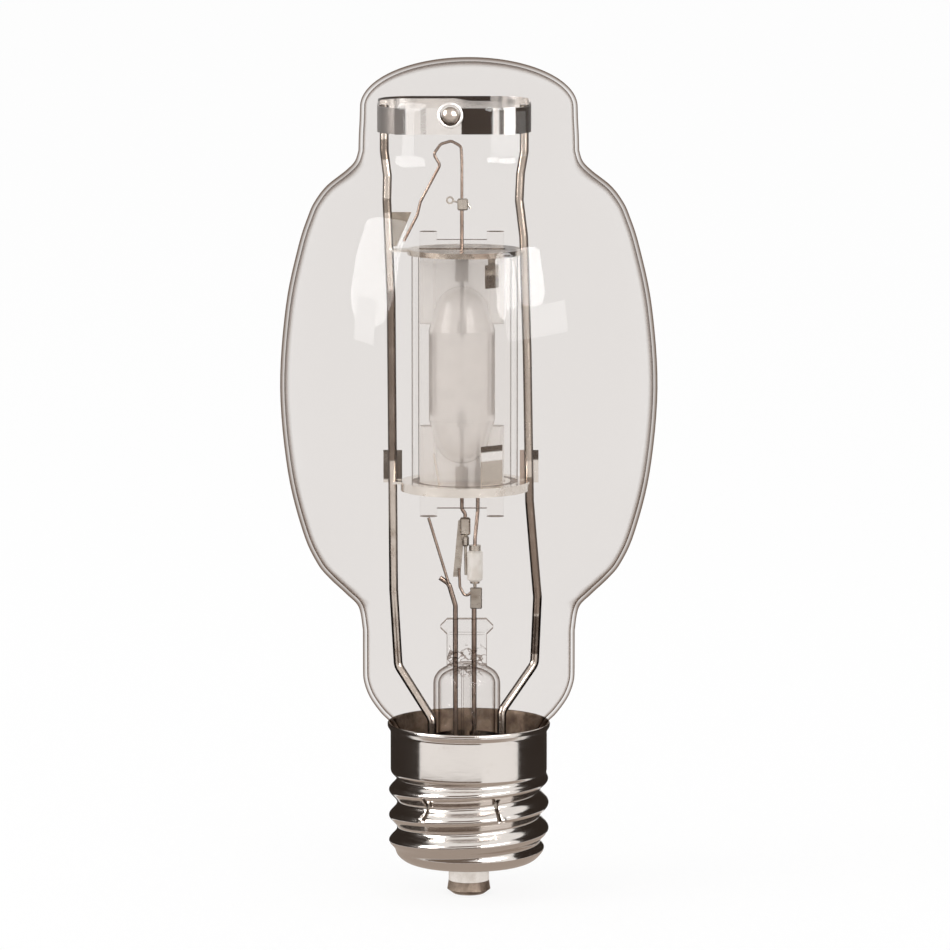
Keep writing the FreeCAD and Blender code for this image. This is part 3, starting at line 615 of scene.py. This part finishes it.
class Look:
    """The lamp's finishes."""

    BULB = Clear("bulb_glass", (0.939, 0.929, 0.922, 1.0), (0.42, 0.36, 0.32, 1.0), rim_start=0.74,
                 rim_end=0.93, ripple=0.02, ripple_scale=25.0, gloss=0.3, gloss_from=104.0)
    BULB_INSIDE = replace(BULB, name="bulb_inside", gloss=0.0, gloss_from=0.0)
    STEM = Clear("stem_glass", (0.985, 0.982, 0.98, 1.0), (0.44, 0.39, 0.36, 1.0), rim_start=0.46,
                 rim_end=0.88, ripple=0.35, ripple_scale=420.0, gloss=0.4, crease_zone=(55.5, 61.5))
    SHROUD = Clear("shroud_glass", (0.988, 0.985, 0.982, 1.0), (0.46, 0.42, 0.40, 1.0), rim_start=0.72,
                   rim_end=0.94, ripple=0.02, ripple_scale=60.0, gloss=0.3)
    QUARTZ = Clear("arc_quartz", (0.985, 0.98, 0.977, 1.0), (0.24, 0.19, 0.16, 1.0), rim_start=0.66,
                   rim_end=0.92, ripple=0.05, ripple_scale=160.0, gloss=0.2, frost=0.6,
                   frost_zone=(103.0, 157.0), frost_colour=(1.0, 0.985, 0.972, 1.0),
                   line_zone=(119.5, 139.5))
    SHELL = Plated("shell_plate", rgb(224, 217, 211), rgb(210, 200, 191), rough=0.14, stain_share=0.2,
                   grain=(0.3, 0.3, 3.0), depth=0.012)
    # Painted shade: a darker, browner copy of the shell's plate for its inner face, standing for the shade
    # inside the cup.
    SHADED_INSIDE = Plated("shell_inside_shade", rgb(152, 137, 123), rgb(96, 84, 74), rough=0.5, stain_share=0.75,
                    depth=0.08)
    # Painted shade: a dark plate for the stake slits and the strap's groove, where there is only shade.
    RECESS_SHADE = Plated("recess_shade", rgb(84, 73, 64), rgb(54, 46, 40), rough=0.5, stain_share=0.5, depth=0.08)
    STRAP = Strap("strap_plate", rgb(248, 245, 242), rgb(234, 228, 222), rough=0.2, stain_share=0.2,
                  grain=(0.3, 0.3, 1.0), depth=0.01)
    BOSS = Plated("boss_plate", rgb(250, 248, 246), rgb(238, 234, 230), rough=0.3, stain_share=0.2,
                  depth=0.02)
    FRAME = Plated("frame_plate", rgb(216, 206, 196), rgb(168, 154, 142), rough=0.2, stain_share=0.45,
                   grain=(1.0, 1.0, 0.1), depth=0.015, edge_dark=0.9, regions=FRAME_TONES)
    HEATED = Plated("heated_plate", rgb(156, 147, 135), rgb(132, 122, 111), rough=0.45, stain_share=0.5,
                    depth=0.02)
    UPPER = Plated("upper_plate", rgb(190, 179, 167), rgb(122, 109, 98), rough=0.24, stain_share=0.75,
                   depth=0.008, regions=UPPER_TONES)
    PLATE = Plated("plate_metal", rgb(232, 226, 219), rgb(204, 194, 184), rough=0.22, stain_share=0.3,
                   depth=0.005, regions=PLATE_SHEEN_AND_TONES)
    SWITCH = Plated("switch_metal", rgb(196, 188, 178), rgb(146, 134, 122), rough=0.28, stain_share=0.5,
                    depth=0.03, edge_dark=0.3)
    LEAD = Plated("lead_metal", rgb(166, 148, 136), rgb(118, 96, 84), rough=0.28, stain_share=0.5,
                  grain=(1.0, 1.0, 0.3), depth=0.03, edge_dark=0.7)
    CONTACT = Plated("contact_metal", rgb(160, 146, 133), rgb(112, 98, 87), rough=0.5, stain_share=0.6)
    TUNGSTEN = Plated("tungsten", rgb(124, 118, 114), rgb(74, 68, 64), rough=0.42, stain_share=0.5)
    FOIL = Plated("foil_metal", rgb(170, 162, 156), rgb(128, 118, 110), rough=0.35, stain_share=0.4)
    INSULATOR = Fired("insulator", rgb(242, 236, 230), rgb(222, 214, 206), rough=0.25, pits=0.1, coat=0.3)
    CEMENT = Fired("cement", rgb(112, 98, 86), rgb(186, 174, 160), rough=0.8, pits=0.3)
    RESISTOR = Fired("resistor", rgb(240, 237, 232), rgb(224, 218, 210), rough=0.45, pits=0.08)


NODE_FINISH: dict[str, Finish] = {
    "outer_bulb": Look.BULB, "screw_shell": Look.SHELL, "base_insulator": Look.INSULATOR,
    "centre_contact": Look.CONTACT, "base_cement": Look.CEMENT, "glass_stem": Look.STEM,
    "stem_clamp": Look.FRAME, "frame_post_left": Look.FRAME, "frame_post_right": Look.FRAME,
    "dome_strap": Look.STRAP, "strap_rivet": Look.FRAME, "upper_shroud_plate": Look.UPPER,
    "lower_shroud_plate": Look.PLATE, "shroud_tube": Look.SHROUD, "arc_tube": Look.QUARTZ,
    "upper_electrode": Look.TUNGSTEN, "lower_electrode": Look.TUNGSTEN, "starting_electrode": Look.TUNGSTEN,
    "upper_foil": Look.FOIL, "lower_foil": Look.FOIL, "starter_foil": Look.FOIL,
    "upper_arc_lead": Look.LEAD, "top_joint": Look.SWITCH, "top_lead_wire": Look.LEAD,
    "bridge_plate": Look.HEATED, "lower_arc_lead": Look.LEAD, "lower_joint": Look.SWITCH,
    "starter_lead": Look.LEAD, "starting_resistor": Look.RESISTOR, "resistor_caps": Look.SWITCH,
    "bimetal_strip": Look.SWITCH, "switch_hook": Look.LEAD, "joint_tab": Look.SWITCH,
    "lead_in_left": Look.LEAD, "lead_in_right": Look.LEAD, "probe_wire": Look.LEAD,
    "contact_wire": Look.LEAD, "shell_wire": Look.LEAD,
}


# Meshes


def catmull(points: Sequence[Pair], steps: int) -> list[Pair]:
    """Draw a smooth line through points.

    Args:
        points: The points, in order.
        steps: How many places each span gets.

    Returns:
        The line's places, ending on the last point.
    """
    ends = [points[0], *points, points[-1]]
    line = []
    for a, b, c, d in zip(ends, ends[1:], ends[2:], ends[3:]):
        for step in range(steps):
            t = step / steps
            line.append(tuple(
                0.5 * (2 * q + (r - p) * t + (2 * p - 5 * q + 4 * r - s) * t * t
                       + (3 * q - p - 3 * r + s) * t ** 3)
                for p, q, r, s in zip(a, b, c, d)))
    line.append(tuple(points[-1]))
    return line


def make_piece(name: str, vertices: Sequence[Point], faces: Sequence[Sequence[int]], finish: Finish) -> bpy.types.Object:
    """Make one smooth mesh piece that rides on the lamp.

    Args:
        name: The piece's name.
        vertices: Its points in millimetres, in the row frame.
        faces: Its faces.
        finish: Its finish.

    Returns:
        The piece.
    """
    mesh = bpy.data.meshes.new(name)
    mesh.from_pydata([tuple(c * MM for c in v) for v in vertices], [], faces)
    work = bmesh.new()
    work.from_mesh(mesh)
    bmesh.ops.remove_doubles(work, verts=work.verts, dist=1e-7)
    bmesh.ops.recalc_face_normals(work, faces=work.faces)
    work.to_mesh(mesh)
    work.free()
    mesh.polygons.foreach_set("use_smooth", [True] * len(mesh.polygons))
    mesh.materials.append(finish.build())
    piece = bpy.data.objects.new(name, mesh)
    bpy.context.scene.collection.objects.link(piece)
    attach(piece, "root")
    LOG.info("%s: %d faces", name, len(mesh.polygons))
    return piece


def lathe(outline: Sequence[tuple[float, float]], segments: int,
          closed: bool = True) -> tuple[list[Point], list[list[int]]]:
    """Turn an outline of (radius, height) about the axis.

    Args:
        outline: The outline, in millimetres.
        segments: Steps round the axis.
        closed: Whether the outline's last point joins its first.

    Returns:
        The vertices and the faces.
    """
    vertices: list[Point] = []
    for step in range(segments):
        turn = 2 * math.pi * step / segments
        for radius, height in outline:
            vertices.append((radius * math.cos(turn), radius * math.sin(turn), height))
    rows = len(outline)
    faces = []
    for step in range(segments):
        after = (step + 1) % segments
        for row in range(rows if closed else rows - 1):
            upper = (row + 1) % rows
            corners = [step * rows + row, after * rows + row, after * rows + upper, step * rows + upper]
            faces.append(corners)
    return vertices, faces


# The lamp


class BulbSide(Enum):
    """The side of the outer bulb's wall that a face is on, by its material's index."""

    OUTSIDE = 0
    INSIDE = 1


@dataclass(frozen=True)
class BulbSize:
    """The outer bulb, in millimetres."""

    wall: float = 1.0
    top: float = 206.8
    dome_side: float = 26.5
    dome_base: float = 194.8
    seal_bottom: float = 22.0
    span_steps: int = 6
    throat_steps: int = 3
    dome_steps: int = 32
    segments: int = 192
    middle: float = 120.0
    neck: tuple = ((16.6, 34.0), (17.2, 38.5), (19.36, 43.0), (22.0, 45.86), (24.56, 49.59), (25.9, 53.35),
                   (26.1, 56.5))
    bulge: tuple = ((26.1, 66.0), (27.21, 72.0), (30.65, 75.78), (34.58, 79.56), (37.53, 83.28),
                    (40.81, 90.72), (44.44, 105.6), (46.22, 126.0), (44.74, 146.2), (41.64, 160.8),
                    (39.23, 168.2), (37.58, 171.75), (34.7, 175.47), (30.09, 179.14), (27.81, 181.52),
                    (26.9, 184.2))
    throat: tuple = ((26.9, 184.2), (26.8, 188.0), (26.6, 191.6))


class OuterBulb:
    """The blown outer bulb, one closed wall of even thickness."""

    def __init__(self, size: BulbSize) -> None:
        """Take the bulb's sizes."""
        self.size = size

    def outside(self) -> list[Pair]:
        """Draw the outer face's outline from the seal to the top.

        Returns:
            The outline as (radius, height).
        """
        size = self.size
        line = [(size.neck[0][0], size.seal_bottom), (size.neck[0][0], size.neck[0][1] - 4.0)]
        line += catmull(size.neck, size.span_steps)
        line += [(size.neck[-1][0], 59.5), (size.bulge[0][0], 63.0)]
        line += catmull(size.bulge, size.span_steps)
        line += catmull([*size.throat, (size.dome_side, size.dome_base)], size.throat_steps)[1:-1]
        rise = size.top - size.dome_base
        for step in range(size.dome_steps + 1):
            turn = math.pi / 2 * step / size.dome_steps
            line.append((size.dome_side * math.cos(turn), size.dome_base + rise * math.sin(turn)))
        return line

    def build(self) -> None:
        """Make the bulb."""
        size = self.size
        outer = self.outside()
        inner = []
        for index, (radius, height) in enumerate(outer):
            before = outer[max(index - 1, 0)]
            after = outer[min(index + 1, len(outer) - 1)]
            along = Vector((after[0] - before[0], after[1] - before[1])).normalized()
            inner.append((max(radius - along.y * size.wall, 0.0), height + along.x * size.wall))
        inner[0] = (inner[0][0], size.seal_bottom)
        inner[-1] = (0.0, size.top - size.wall)
        vertices, faces = lathe(outer + inner[::-1], size.segments)
        piece = make_piece("bulb_envelope", vertices, faces, Look.BULB)
        piece.data.materials.append(Look.BULB_INSIDE.build())
        middle = Vector((0.0, 0.0, size.middle * MM))
        for face in piece.data.polygons:
            inward = face.normal.dot(face.center - middle) < 0
            face.material_index = (BulbSide.INSIDE if inward else BulbSide.OUTSIDE).value
        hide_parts("outer_bulb")


class ShellSkin(Enum):
    """The part of the rolled shell that a face belongs to, by its material's index."""

    PLATE = 0
    SHADED_INSIDE = 1
    RECESS_SHADE = 2


@dataclass(frozen=True)
class ShellSize:
    """The rolled screw shell, in millimetres and degrees."""

    pitch: float = 6.35
    crest: float = 19.75
    depth: float = 2.0
    front: float = 21.3
    bottom: float = 8.0
    corner: float = 5.0
    hole: float = 11.5
    thread_top: float = 31.587
    skirt: float = 19.33
    skirt_top: float = 41.487
    rim: float = 20.05
    rim_top: float = 42.987
    wall: float = 0.4
    stakes: tuple = (-34.8, 22.5)
    stake_width: float = 1.1
    slit_depth: float = 0.9
    slit_foot: Pair = (20.9, 21.4)
    slit_head: Pair = (26.2, 26.8)
    burr_rise: float = 0.5
    burr_reach: float = 0.6
    burr_aside: float = 0.9
    burr_height: float = 21.6
    thread_rows: int = 116
    column_step: float = 1.25
    column_count: int = 288


class ScrewShell:
    """The rolled shell with its thread, skirt, rim and two stake marks."""

    def __init__(self, size: ShellSize) -> None:
        """Take the shell's sizes."""
        self.size = size

    @staticmethod
    def ease(value: float, low: float, high: float) -> float:
        """Return a smooth step from 0 at low to 1 at high."""
        share = min(max((value - low) / (high - low), 0.0), 1.0)
        return share * share * (3 - 2 * share)

    def radius(self, angle: float, height: float) -> float:
        """Find the wall's outer radius.

        Args:
            angle: Degrees from the front.
            height: Height in millimetres.

        Returns:
            The radius in millimetres.
        """
        size = self.size
        mean = size.crest - size.depth / 2
        centre = size.bottom + size.corner
        fall = max(centre - height, 0.0)
        corner = mean - size.corner + math.sqrt(max(size.corner ** 2 - fall ** 2, 0.0))
        rise = self.ease(height, size.thread_top - size.pitch * 0.42, size.thread_top - 0.2)
        plain = corner + (size.skirt - corner) * rise
        fade_in = self.ease(height, size.bottom + 1.9, centre + 0.3)
        fade_out = 1 - self.ease(height, size.thread_top - size.pitch * 0.5, size.thread_top - 0.3)
        phase = 2 * math.pi * (height - size.front) / size.pitch - math.radians(angle)
        smooth = plain + size.depth / 2 * math.cos(phase) * fade_in * fade_out
        return smooth + self.burr(angle, height) - size.slit_depth * self.notch(angle, height)

    def notch(self, angle: float, height: float) -> float:
        """Find how deep in a stake's slit a place is.

        Args:
            angle: Degrees from the front.
            height: Height in millimetres.

        Returns:
            The depth, from 0 to 1.
        """
        size = self.size
        deepest = 0.0
        for stake in size.stakes:
            aside = abs(self.aside(angle, stake))
            across = 1 - self.ease(aside, size.stake_width * 0.25, size.stake_width * 0.6)
            along = self.ease(height, *size.slit_foot) * (1 - self.ease(height, *size.slit_head))
            deepest = max(deepest, across * along)
        return deepest

    def burr(self, angle: float, height: float) -> float:
        """Find the height of the metal raised round the stakes' feet.

        Args:
            angle: Degrees from the front.
            height: Height in millimetres.

        Returns:
            The rise in millimetres.
        """
        size = self.size
        raised = 0.0
        for number, stake in enumerate(size.stakes):
            aside = self.aside(angle, stake) - (size.burr_aside if number else -size.burr_aside)
            crumple = 1 + 0.5 * math.sin(aside * 7.0 + height * 5.0) * math.sin(height * 6.0 - aside * 3.0)
            reach = (aside / size.burr_reach) ** 2 + ((height - size.burr_height) / size.burr_reach) ** 2
            raised += size.burr_rise * crumple * math.exp(-reach)
        return raised

    def aside(self, angle: float, stake: float) -> float:
        """Return the distance round the shell from a stake, in millimetres."""
        return math.radians((angle - stake + 180) % 360 - 180) * self.size.crest

    def turns(self) -> list[float]:
        """Place the wall's columns, closer together at the stakes.

        Returns:
            The columns' angles in degrees.
        """
        angles = [self.size.column_step * step for step in range(self.size.column_count)]
        for stake in self.size.stakes:
            angles += [stake + 0.35 * step for step in range(-22, 23)]
        return sorted({round(angle % 360, 4) for angle in angles})

    def rows(self) -> list[float]:
        """Place the threaded wall's rows.

        Returns:
            The rows' heights in millimetres.
        """
        size = self.size
        low = size.bottom + 0.02
        count = size.thread_rows
        return [low + (size.thread_top - low) * step / count for step in range(count + 1)]

    def section(self, angle: float, heights: Sequence[float]) -> list[Pair]:
        """Draw the wall's closed section at one angle.

        Args:
            angle: Degrees from the front.
            heights: The threaded wall's rows.

        Returns:
            The section as (radius, height).
        """
        size = self.size
        line = [(size.hole, size.bottom)]
        line += [(self.radius(angle, height), height) for height in heights]
        line += [(size.skirt, size.thread_top + 0.25), (size.skirt, size.thread_top + 0.7),
                 (size.skirt, size.skirt_top - 1.5), (size.skirt, size.skirt_top - 1.15),
                 (size.skirt, size.skirt_top - 0.9), (size.skirt + 0.12, size.skirt_top - 0.45),
                 (size.rim - 0.12, size.skirt_top + 0.35), (size.rim, size.skirt_top + 0.7),
                 (size.rim, size.rim_top - 0.2), (size.rim - 0.2, size.rim_top),
                 (size.rim - size.wall, size.rim_top - 0.05),
                 (size.rim - size.wall, size.skirt_top + 0.7),
                 (size.skirt - size.wall, size.skirt_top - 0.6)]
        line += [(self.radius(angle, height) - size.wall, max(height, size.bottom + size.wall))
                 for height in reversed(heights)]
        line.append((size.hole, size.bottom + size.wall))
        return line

    def skin(self, face: bpy.types.MeshPolygon) -> ShellSkin:
        """Find which part of the shell a face belongs to.

        Args:
            face: The face, in metres.

        Returns:
            The part.
        """
        outward = Vector((face.center.x, face.center.y, 0.0)).normalized()
        angle = math.degrees(math.atan2(face.center.y, face.center.x)) + 90
        # Faces deep in a slit take the dark plate, painted as the shade in the cut.
        if self.notch(angle, face.center.z / MM) > 0.45:
            return ShellSkin.RECESS_SHADE
        # Faces turned inwards take the darker plate, painted as the shade inside the shell.
        if face.normal.dot(outward) < -0.2 and face.center.z > (self.size.bottom + 1.0) * MM:
            return ShellSkin.SHADED_INSIDE
        return ShellSkin.PLATE

    def build(self) -> None:
        """Make the shell."""
        angles = self.turns()
        heights = self.rows()
        vertices: list[Point] = []
        for angle in angles:
            turn = math.radians(angle - 90)
            for radius, height in self.section(angle, heights):
                vertices.append((radius * math.cos(turn), radius * math.sin(turn), height))
        rows = len(vertices) // len(angles)
        faces = []
        for column in range(len(angles)):
            here = column * rows
            after = (column + 1) % len(angles) * rows
            for row in range(rows):
                upper = (row + 1) % rows
                faces.append([here + row, after + row, after + upper, here + upper])
        piece = make_piece("rolled_shell", vertices, faces, Look.SHELL)
        piece.data.materials.append(Look.SHADED_INSIDE.build())
        piece.data.materials.append(Look.RECESS_SHADE.build())
        for face in piece.data.polygons:
            face.material_index = self.skin(face).value
        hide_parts("screw_shell")


@dataclass(frozen=True)
class BossSize:
    """The raised boss round the strap's rivet, in millimetres."""

    centre: Point = (-4.45, -17.35, 193.85)
    outer: float = 3.15
    inner: float = 2.45
    groove: float = 2.05
    proud: float = 0.45


class Boss:
    """The strap's raised boss: a bright ring, and a dark ring painted as the shade of the groove at the
    rivet's foot.
    """

    def __init__(self, size: BossSize) -> None:
        """Take the boss's sizes."""
        self.size = size

    def ring(self, name: str, outline: Sequence[Pair], finish: Finish) -> None:
        """Make one ring about the boss's axis.

        Args:
            name: The ring's name.
            outline: Its section as (radius, height above the strap), in millimetres.
            finish: Its finish.
        """
        turned, faces = lathe(outline, 64)
        x, y, z = self.size.centre
        make_piece(name, [(x + a, y - c, z + b) for a, b, c in turned], faces, finish)

    def build(self) -> None:
        """Make both rings."""
        size = self.size
        top = size.proud
        self.ring("strap_boss", [(size.outer, -0.3), (size.outer, top * 0.4), (size.outer - 0.12, top * 0.8),
                                 (size.outer - 0.35, top), (size.inner + 0.1, top), (size.inner, top * 0.8),
                                 (size.inner, -0.3)], Look.BOSS)
        # A dark ring painted as the shade in the groove at the rivet's foot.
        self.ring("strap_groove_shade", [(size.inner + 0.02, -0.3), (size.inner + 0.02, 0.16), (size.groove, 0.12),
                                   (size.groove - 0.3, 0.14), (size.groove - 0.3, -0.3)], Look.RECESS_SHADE)


# Studio


@dataclass(frozen=True)
class SoftBox:
    """A soft light by where it hangs round the lamp, in degrees from the front.

    Attributes:
        name: The light's name.
        azimuth: Its left and right sides.
        elevation: Its lower and upper edges.
        radiance: How strongly it lights the lamp.
        shine: How strongly its panel shows in reflections.
        distance: How far off it hangs, in metres.
        corner: How square the panel is, from 0 for a rectangle to 1 for an ellipse.
        sides: How many sides the panel has.
    """

    name: str
    azimuth: Pair
    elevation: Pair
    radiance: float
    shine: float = 7.0
    distance: float = 1.6
    corner: float = 0.6
    sides: int = 48

    def build(self, centre: Vector) -> None:
        """Hang the light and its panel.

        Args:
            centre: The point they face.
        """
        turn = math.radians(sum(self.azimuth) / 2)
        lift = math.radians(sum(self.elevation) / 2)
        away = Vector((math.sin(turn) * math.cos(lift), -math.cos(turn) * math.cos(lift), math.sin(lift)))
        width = self.reach(self.azimuth)
        height = self.reach(self.elevation)
        light = bpy.data.lights.new(self.name, "AREA")
        light.shape = "RECTANGLE"
        light.size = width
        light.size_y = height
        light.energy = self.radiance * width * height * math.pi
        holder = bpy.data.objects.new(self.name, light)
        holder.location = centre + away * self.distance
        holder.rotation_euler = (-away).to_track_quat("-Z", "Y").to_euler()
        holder.visible_glossy = False
        bpy.context.scene.collection.objects.link(holder)
        rim = []
        for step in range(self.sides):
            turn = 2 * math.pi * step / self.sides
            rim.append(Vector((self.rounded(math.cos(turn)) * width / 2,
                               self.rounded(math.sin(turn)) * height / 2, 0.0)))
        panel = glow(self.name + "_panel", rim, [list(range(self.sides))], WHITE, self.shine)
        panel.location = holder.location
        panel.rotation_euler = holder.rotation_euler

    def reach(self, span: Pair) -> float:
        """Return how wide a span of degrees is at the light's distance."""
        return 2 * self.distance * math.tan(math.radians(span[1] - span[0]) / 2)

    def rounded(self, value: float) -> float:
        """Return a sine or cosine drawn out towards the panel's corners."""
        return math.copysign(abs(value) ** self.corner, value)


def glow(name: str, vertices: Sequence[Vector], faces: Sequence[Sequence[int]], colour: Colour,
         strength: float) -> bpy.types.Object:
    """Stand one studio panel that only reflections see.

    Args:
        name: The panel's name.
        vertices: Its points in metres.
        faces: Its faces.
        colour: Its colour.
        strength: How strongly it shines.

    Returns:
        The panel.
    """
    paint = bpy.data.materials.new(name)
    paint.use_nodes = True
    tree = Tree(paint.node_tree)
    tree.surface(tree.node("ShaderNodeEmission", {}, {"Color": colour, "Strength": strength})[0])
    mesh = bpy.data.meshes.new(name)
    mesh.from_pydata([tuple(v) for v in vertices], [], faces)
    mesh.materials.append(paint)
    panel = bpy.data.objects.new(name, mesh)
    bpy.context.scene.collection.objects.link(panel)
    for ray in ("camera", "diffuse", "transmission", "volume_scatter", "shadow"):
        setattr(panel, "visible_" + ray, False)
    return panel


@dataclass(frozen=True)
class Card:
    """An upright curved card round the lamp that only reflections see.

    Attributes:
        name: The card's name.
        sides: Its two sides, in degrees from the front.
        radius: Its distance from the axis, in metres.
        heights: Its lower and upper edges, in metres.
        colour: Its colour.
        strength: How strongly it shines.
        steps: How many flat pieces it is bent from.
    """

    name: str
    sides: Pair
    radius: float
    heights: Pair
    colour: Colour
    strength: float = 1.0
    steps: int = 24

    def build(self) -> None:
        """Stand the card."""
        start, end = self.sides
        vertices = []
        for step in range(self.steps + 1):
            turn = math.radians(start + (end - start) * step / self.steps)
            for lift in self.heights:
                vertices.append(Vector((self.radius * math.sin(turn), -self.radius * math.cos(turn), lift)))
        faces = [[2 * step, 2 * step + 1, 2 * step + 3, 2 * step + 2] for step in range(self.steps)]
        glow(self.name, vertices, faces, self.colour, self.strength)


@dataclass(frozen=True)
class Camera:
    """The camera of the photograph.

    Attributes:
        lens: Focal length in millimetres.
        sensor: Width of the sensor in millimetres.
        shift: Shift of the picture, across and up.
        clip: Nearest and farthest distance seen, in metres.
        place: Where it stands, in metres.
        tilt: How far it looks down, in degrees.
    """

    lens: float = 211.7
    sensor: float = 36.0
    shift: Pair = (0.0065, 0.0016)
    clip: Pair = (0.05, 20.0)
    place: Point = (0.0, -1.360, 0.284)
    tilt: float = 7.539

    def build(self) -> None:
        """Stand the camera and use it."""
        data = bpy.data.cameras.new("camera")
        data.lens = self.lens
        data.sensor_width = self.sensor
        data.shift_x, data.shift_y = self.shift
        data.clip_start, data.clip_end = self.clip
        camera = bpy.data.objects.new("camera", data)
        camera.location = self.place
        camera.rotation_euler = (math.radians(90 - self.tilt), 0.0, 0.0)
        bpy.context.scene.collection.objects.link(camera)
        bpy.context.scene.camera = camera


class Studio:
    """The white surroundings, the cards and soft boxes, the floor and the camera."""

    CENTRE = Vector((0.0, 0.0, 0.10))
    DARK = rgb(50, 43, 38)
    BROWN = rgb(112, 98, 88)
    SHADE = rgb(176, 164, 154)
    CARDS = (
        Card("card_left", (-180, -66), 0.062, (0.0006, 0.085), DARK),
        Card("card_right", (66, 152), 0.062, (0.0006, 0.070), DARK),
        Card("card_front", (-64, 16), 0.062, (0.0006, 0.0228), BROWN),
        Card("card_front_high", (-30, 14), 0.062, (0.0370, 0.062), BROWN),
        Card("neck_left", (-71, -57), 0.350, (0.1620, 0.225), WHITE, 9.0),
        Card("neck_right", (22, 60), 0.350, (0.1760, 0.225), WHITE, 8.0),
    )
    BOXES = (
        SoftBox("soft_left", (-82, -50), (8, 40), 2.2, 15.0),
        SoftBox("soft_right", (18, 31), (12, 28), 2.2, 24.0),
        SoftBox("soft_right_outer", (33, 50), (15, 29), 2.2, 24.0),
    )
    MAT_RADIUS = 0.055
    MAT_HEIGHT = 0.0004
    MAT_SIDES = 36
    FLOOR_HALF = 20.0

    def world(self) -> None:
        """Make the surroundings: white to the eye, a little darker as light on the lamp."""
        world = bpy.data.worlds.new("surroundings")
        bpy.context.scene.world = world
        world.use_nodes = True
        tree = Tree(world.node_tree)
        path = tree.node("ShaderNodeLightPath")
        seen = path["Is Camera Ray"].most(path["Is Glossy Ray"]).most(path["Is Transmission Ray"])
        colour = tree.mix(seen, (0.95, 0.95, 0.95, 1.0), WHITE)
        tree.surface(tree.node("ShaderNodeBackground", {}, {"Color": colour, "Strength": 1.0})[0])

    def mat(self) -> None:
        """Lay the round card under the lamp that only reflections see."""
        rim = []
        for step in range(self.MAT_SIDES):
            turn = 2 * math.pi * step / self.MAT_SIDES
            rim.append(Vector((self.MAT_RADIUS * math.sin(turn), -self.MAT_RADIUS * math.cos(turn),
                               self.MAT_HEIGHT)))
        glow("mat_under", rim, [list(range(self.MAT_SIDES))], self.SHADE, 1.0)

    def floor(self) -> None:
        """Lay the pale floor."""
        half = self.FLOOR_HALF
        mesh = bpy.data.meshes.new("floor")
        mesh.from_pydata([(-half, -half, 0), (half, -half, 0), (half, half, 0), (-half, half, 0)], [],
                         [[0, 1, 2, 3]])
        paint = bpy.data.materials.new("floor_paint")
        paint.use_nodes = True
        tree = Tree(paint.node_tree)
        plain = tree.node("ShaderNodeBsdfPrincipled", {}, {
            "Base Color": (0.93, 0.93, 0.93, 1.0), "Roughness": 0.9, "Specular IOR Level": 0.0})[0]
        white = tree.node("ShaderNodeEmission", {}, {"Color": WHITE, "Strength": 1.0})[0]
        tree.surface(tree.blend(0.85, plain, white))
        mesh.materials.append(paint)
        floor = bpy.data.objects.new("floor", mesh)
        bpy.context.scene.collection.objects.link(floor)

    def build(self) -> None:
        """Set up the studio."""
        bpy.context.scene.view_settings.view_transform = "Standard"
        bpy.context.scene.cycles.transparent_max_bounces = 40
        self.world()
        for card in self.CARDS:
            card.build()
        self.mat()
        self.floor()
        for box in self.BOXES:
            box.build(self.CENTRE)
        Camera().build()


def corners(box: tuple[Vector, Vector]) -> list[list[float]]:
    """Return a box as plain lists."""
    return [list(box[0]), list(box[1])]


def dress_nodes() -> None:
    """Give every CAD node its finish."""
    for name, finish in NODE_FINISH.items():
        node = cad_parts[name]
        material = finish.build()
        if not node.data.materials:
            node.data.materials.append(material)
        for slot in node.material_slots:
            slot.material = material
        LOG.info("%s: %s", name, finish.name)


def main() -> None:
    """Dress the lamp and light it."""
    logging.basicConfig(level=logging.INFO, format="%(name)s %(message)s")
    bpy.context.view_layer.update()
    dress_nodes()
    OuterBulb(BulbSize()).build()
    ScrewShell(ShellSize()).build()
    Boss(BossSize()).build()
    Studio().build()


if __name__ == "__main__":
    main()
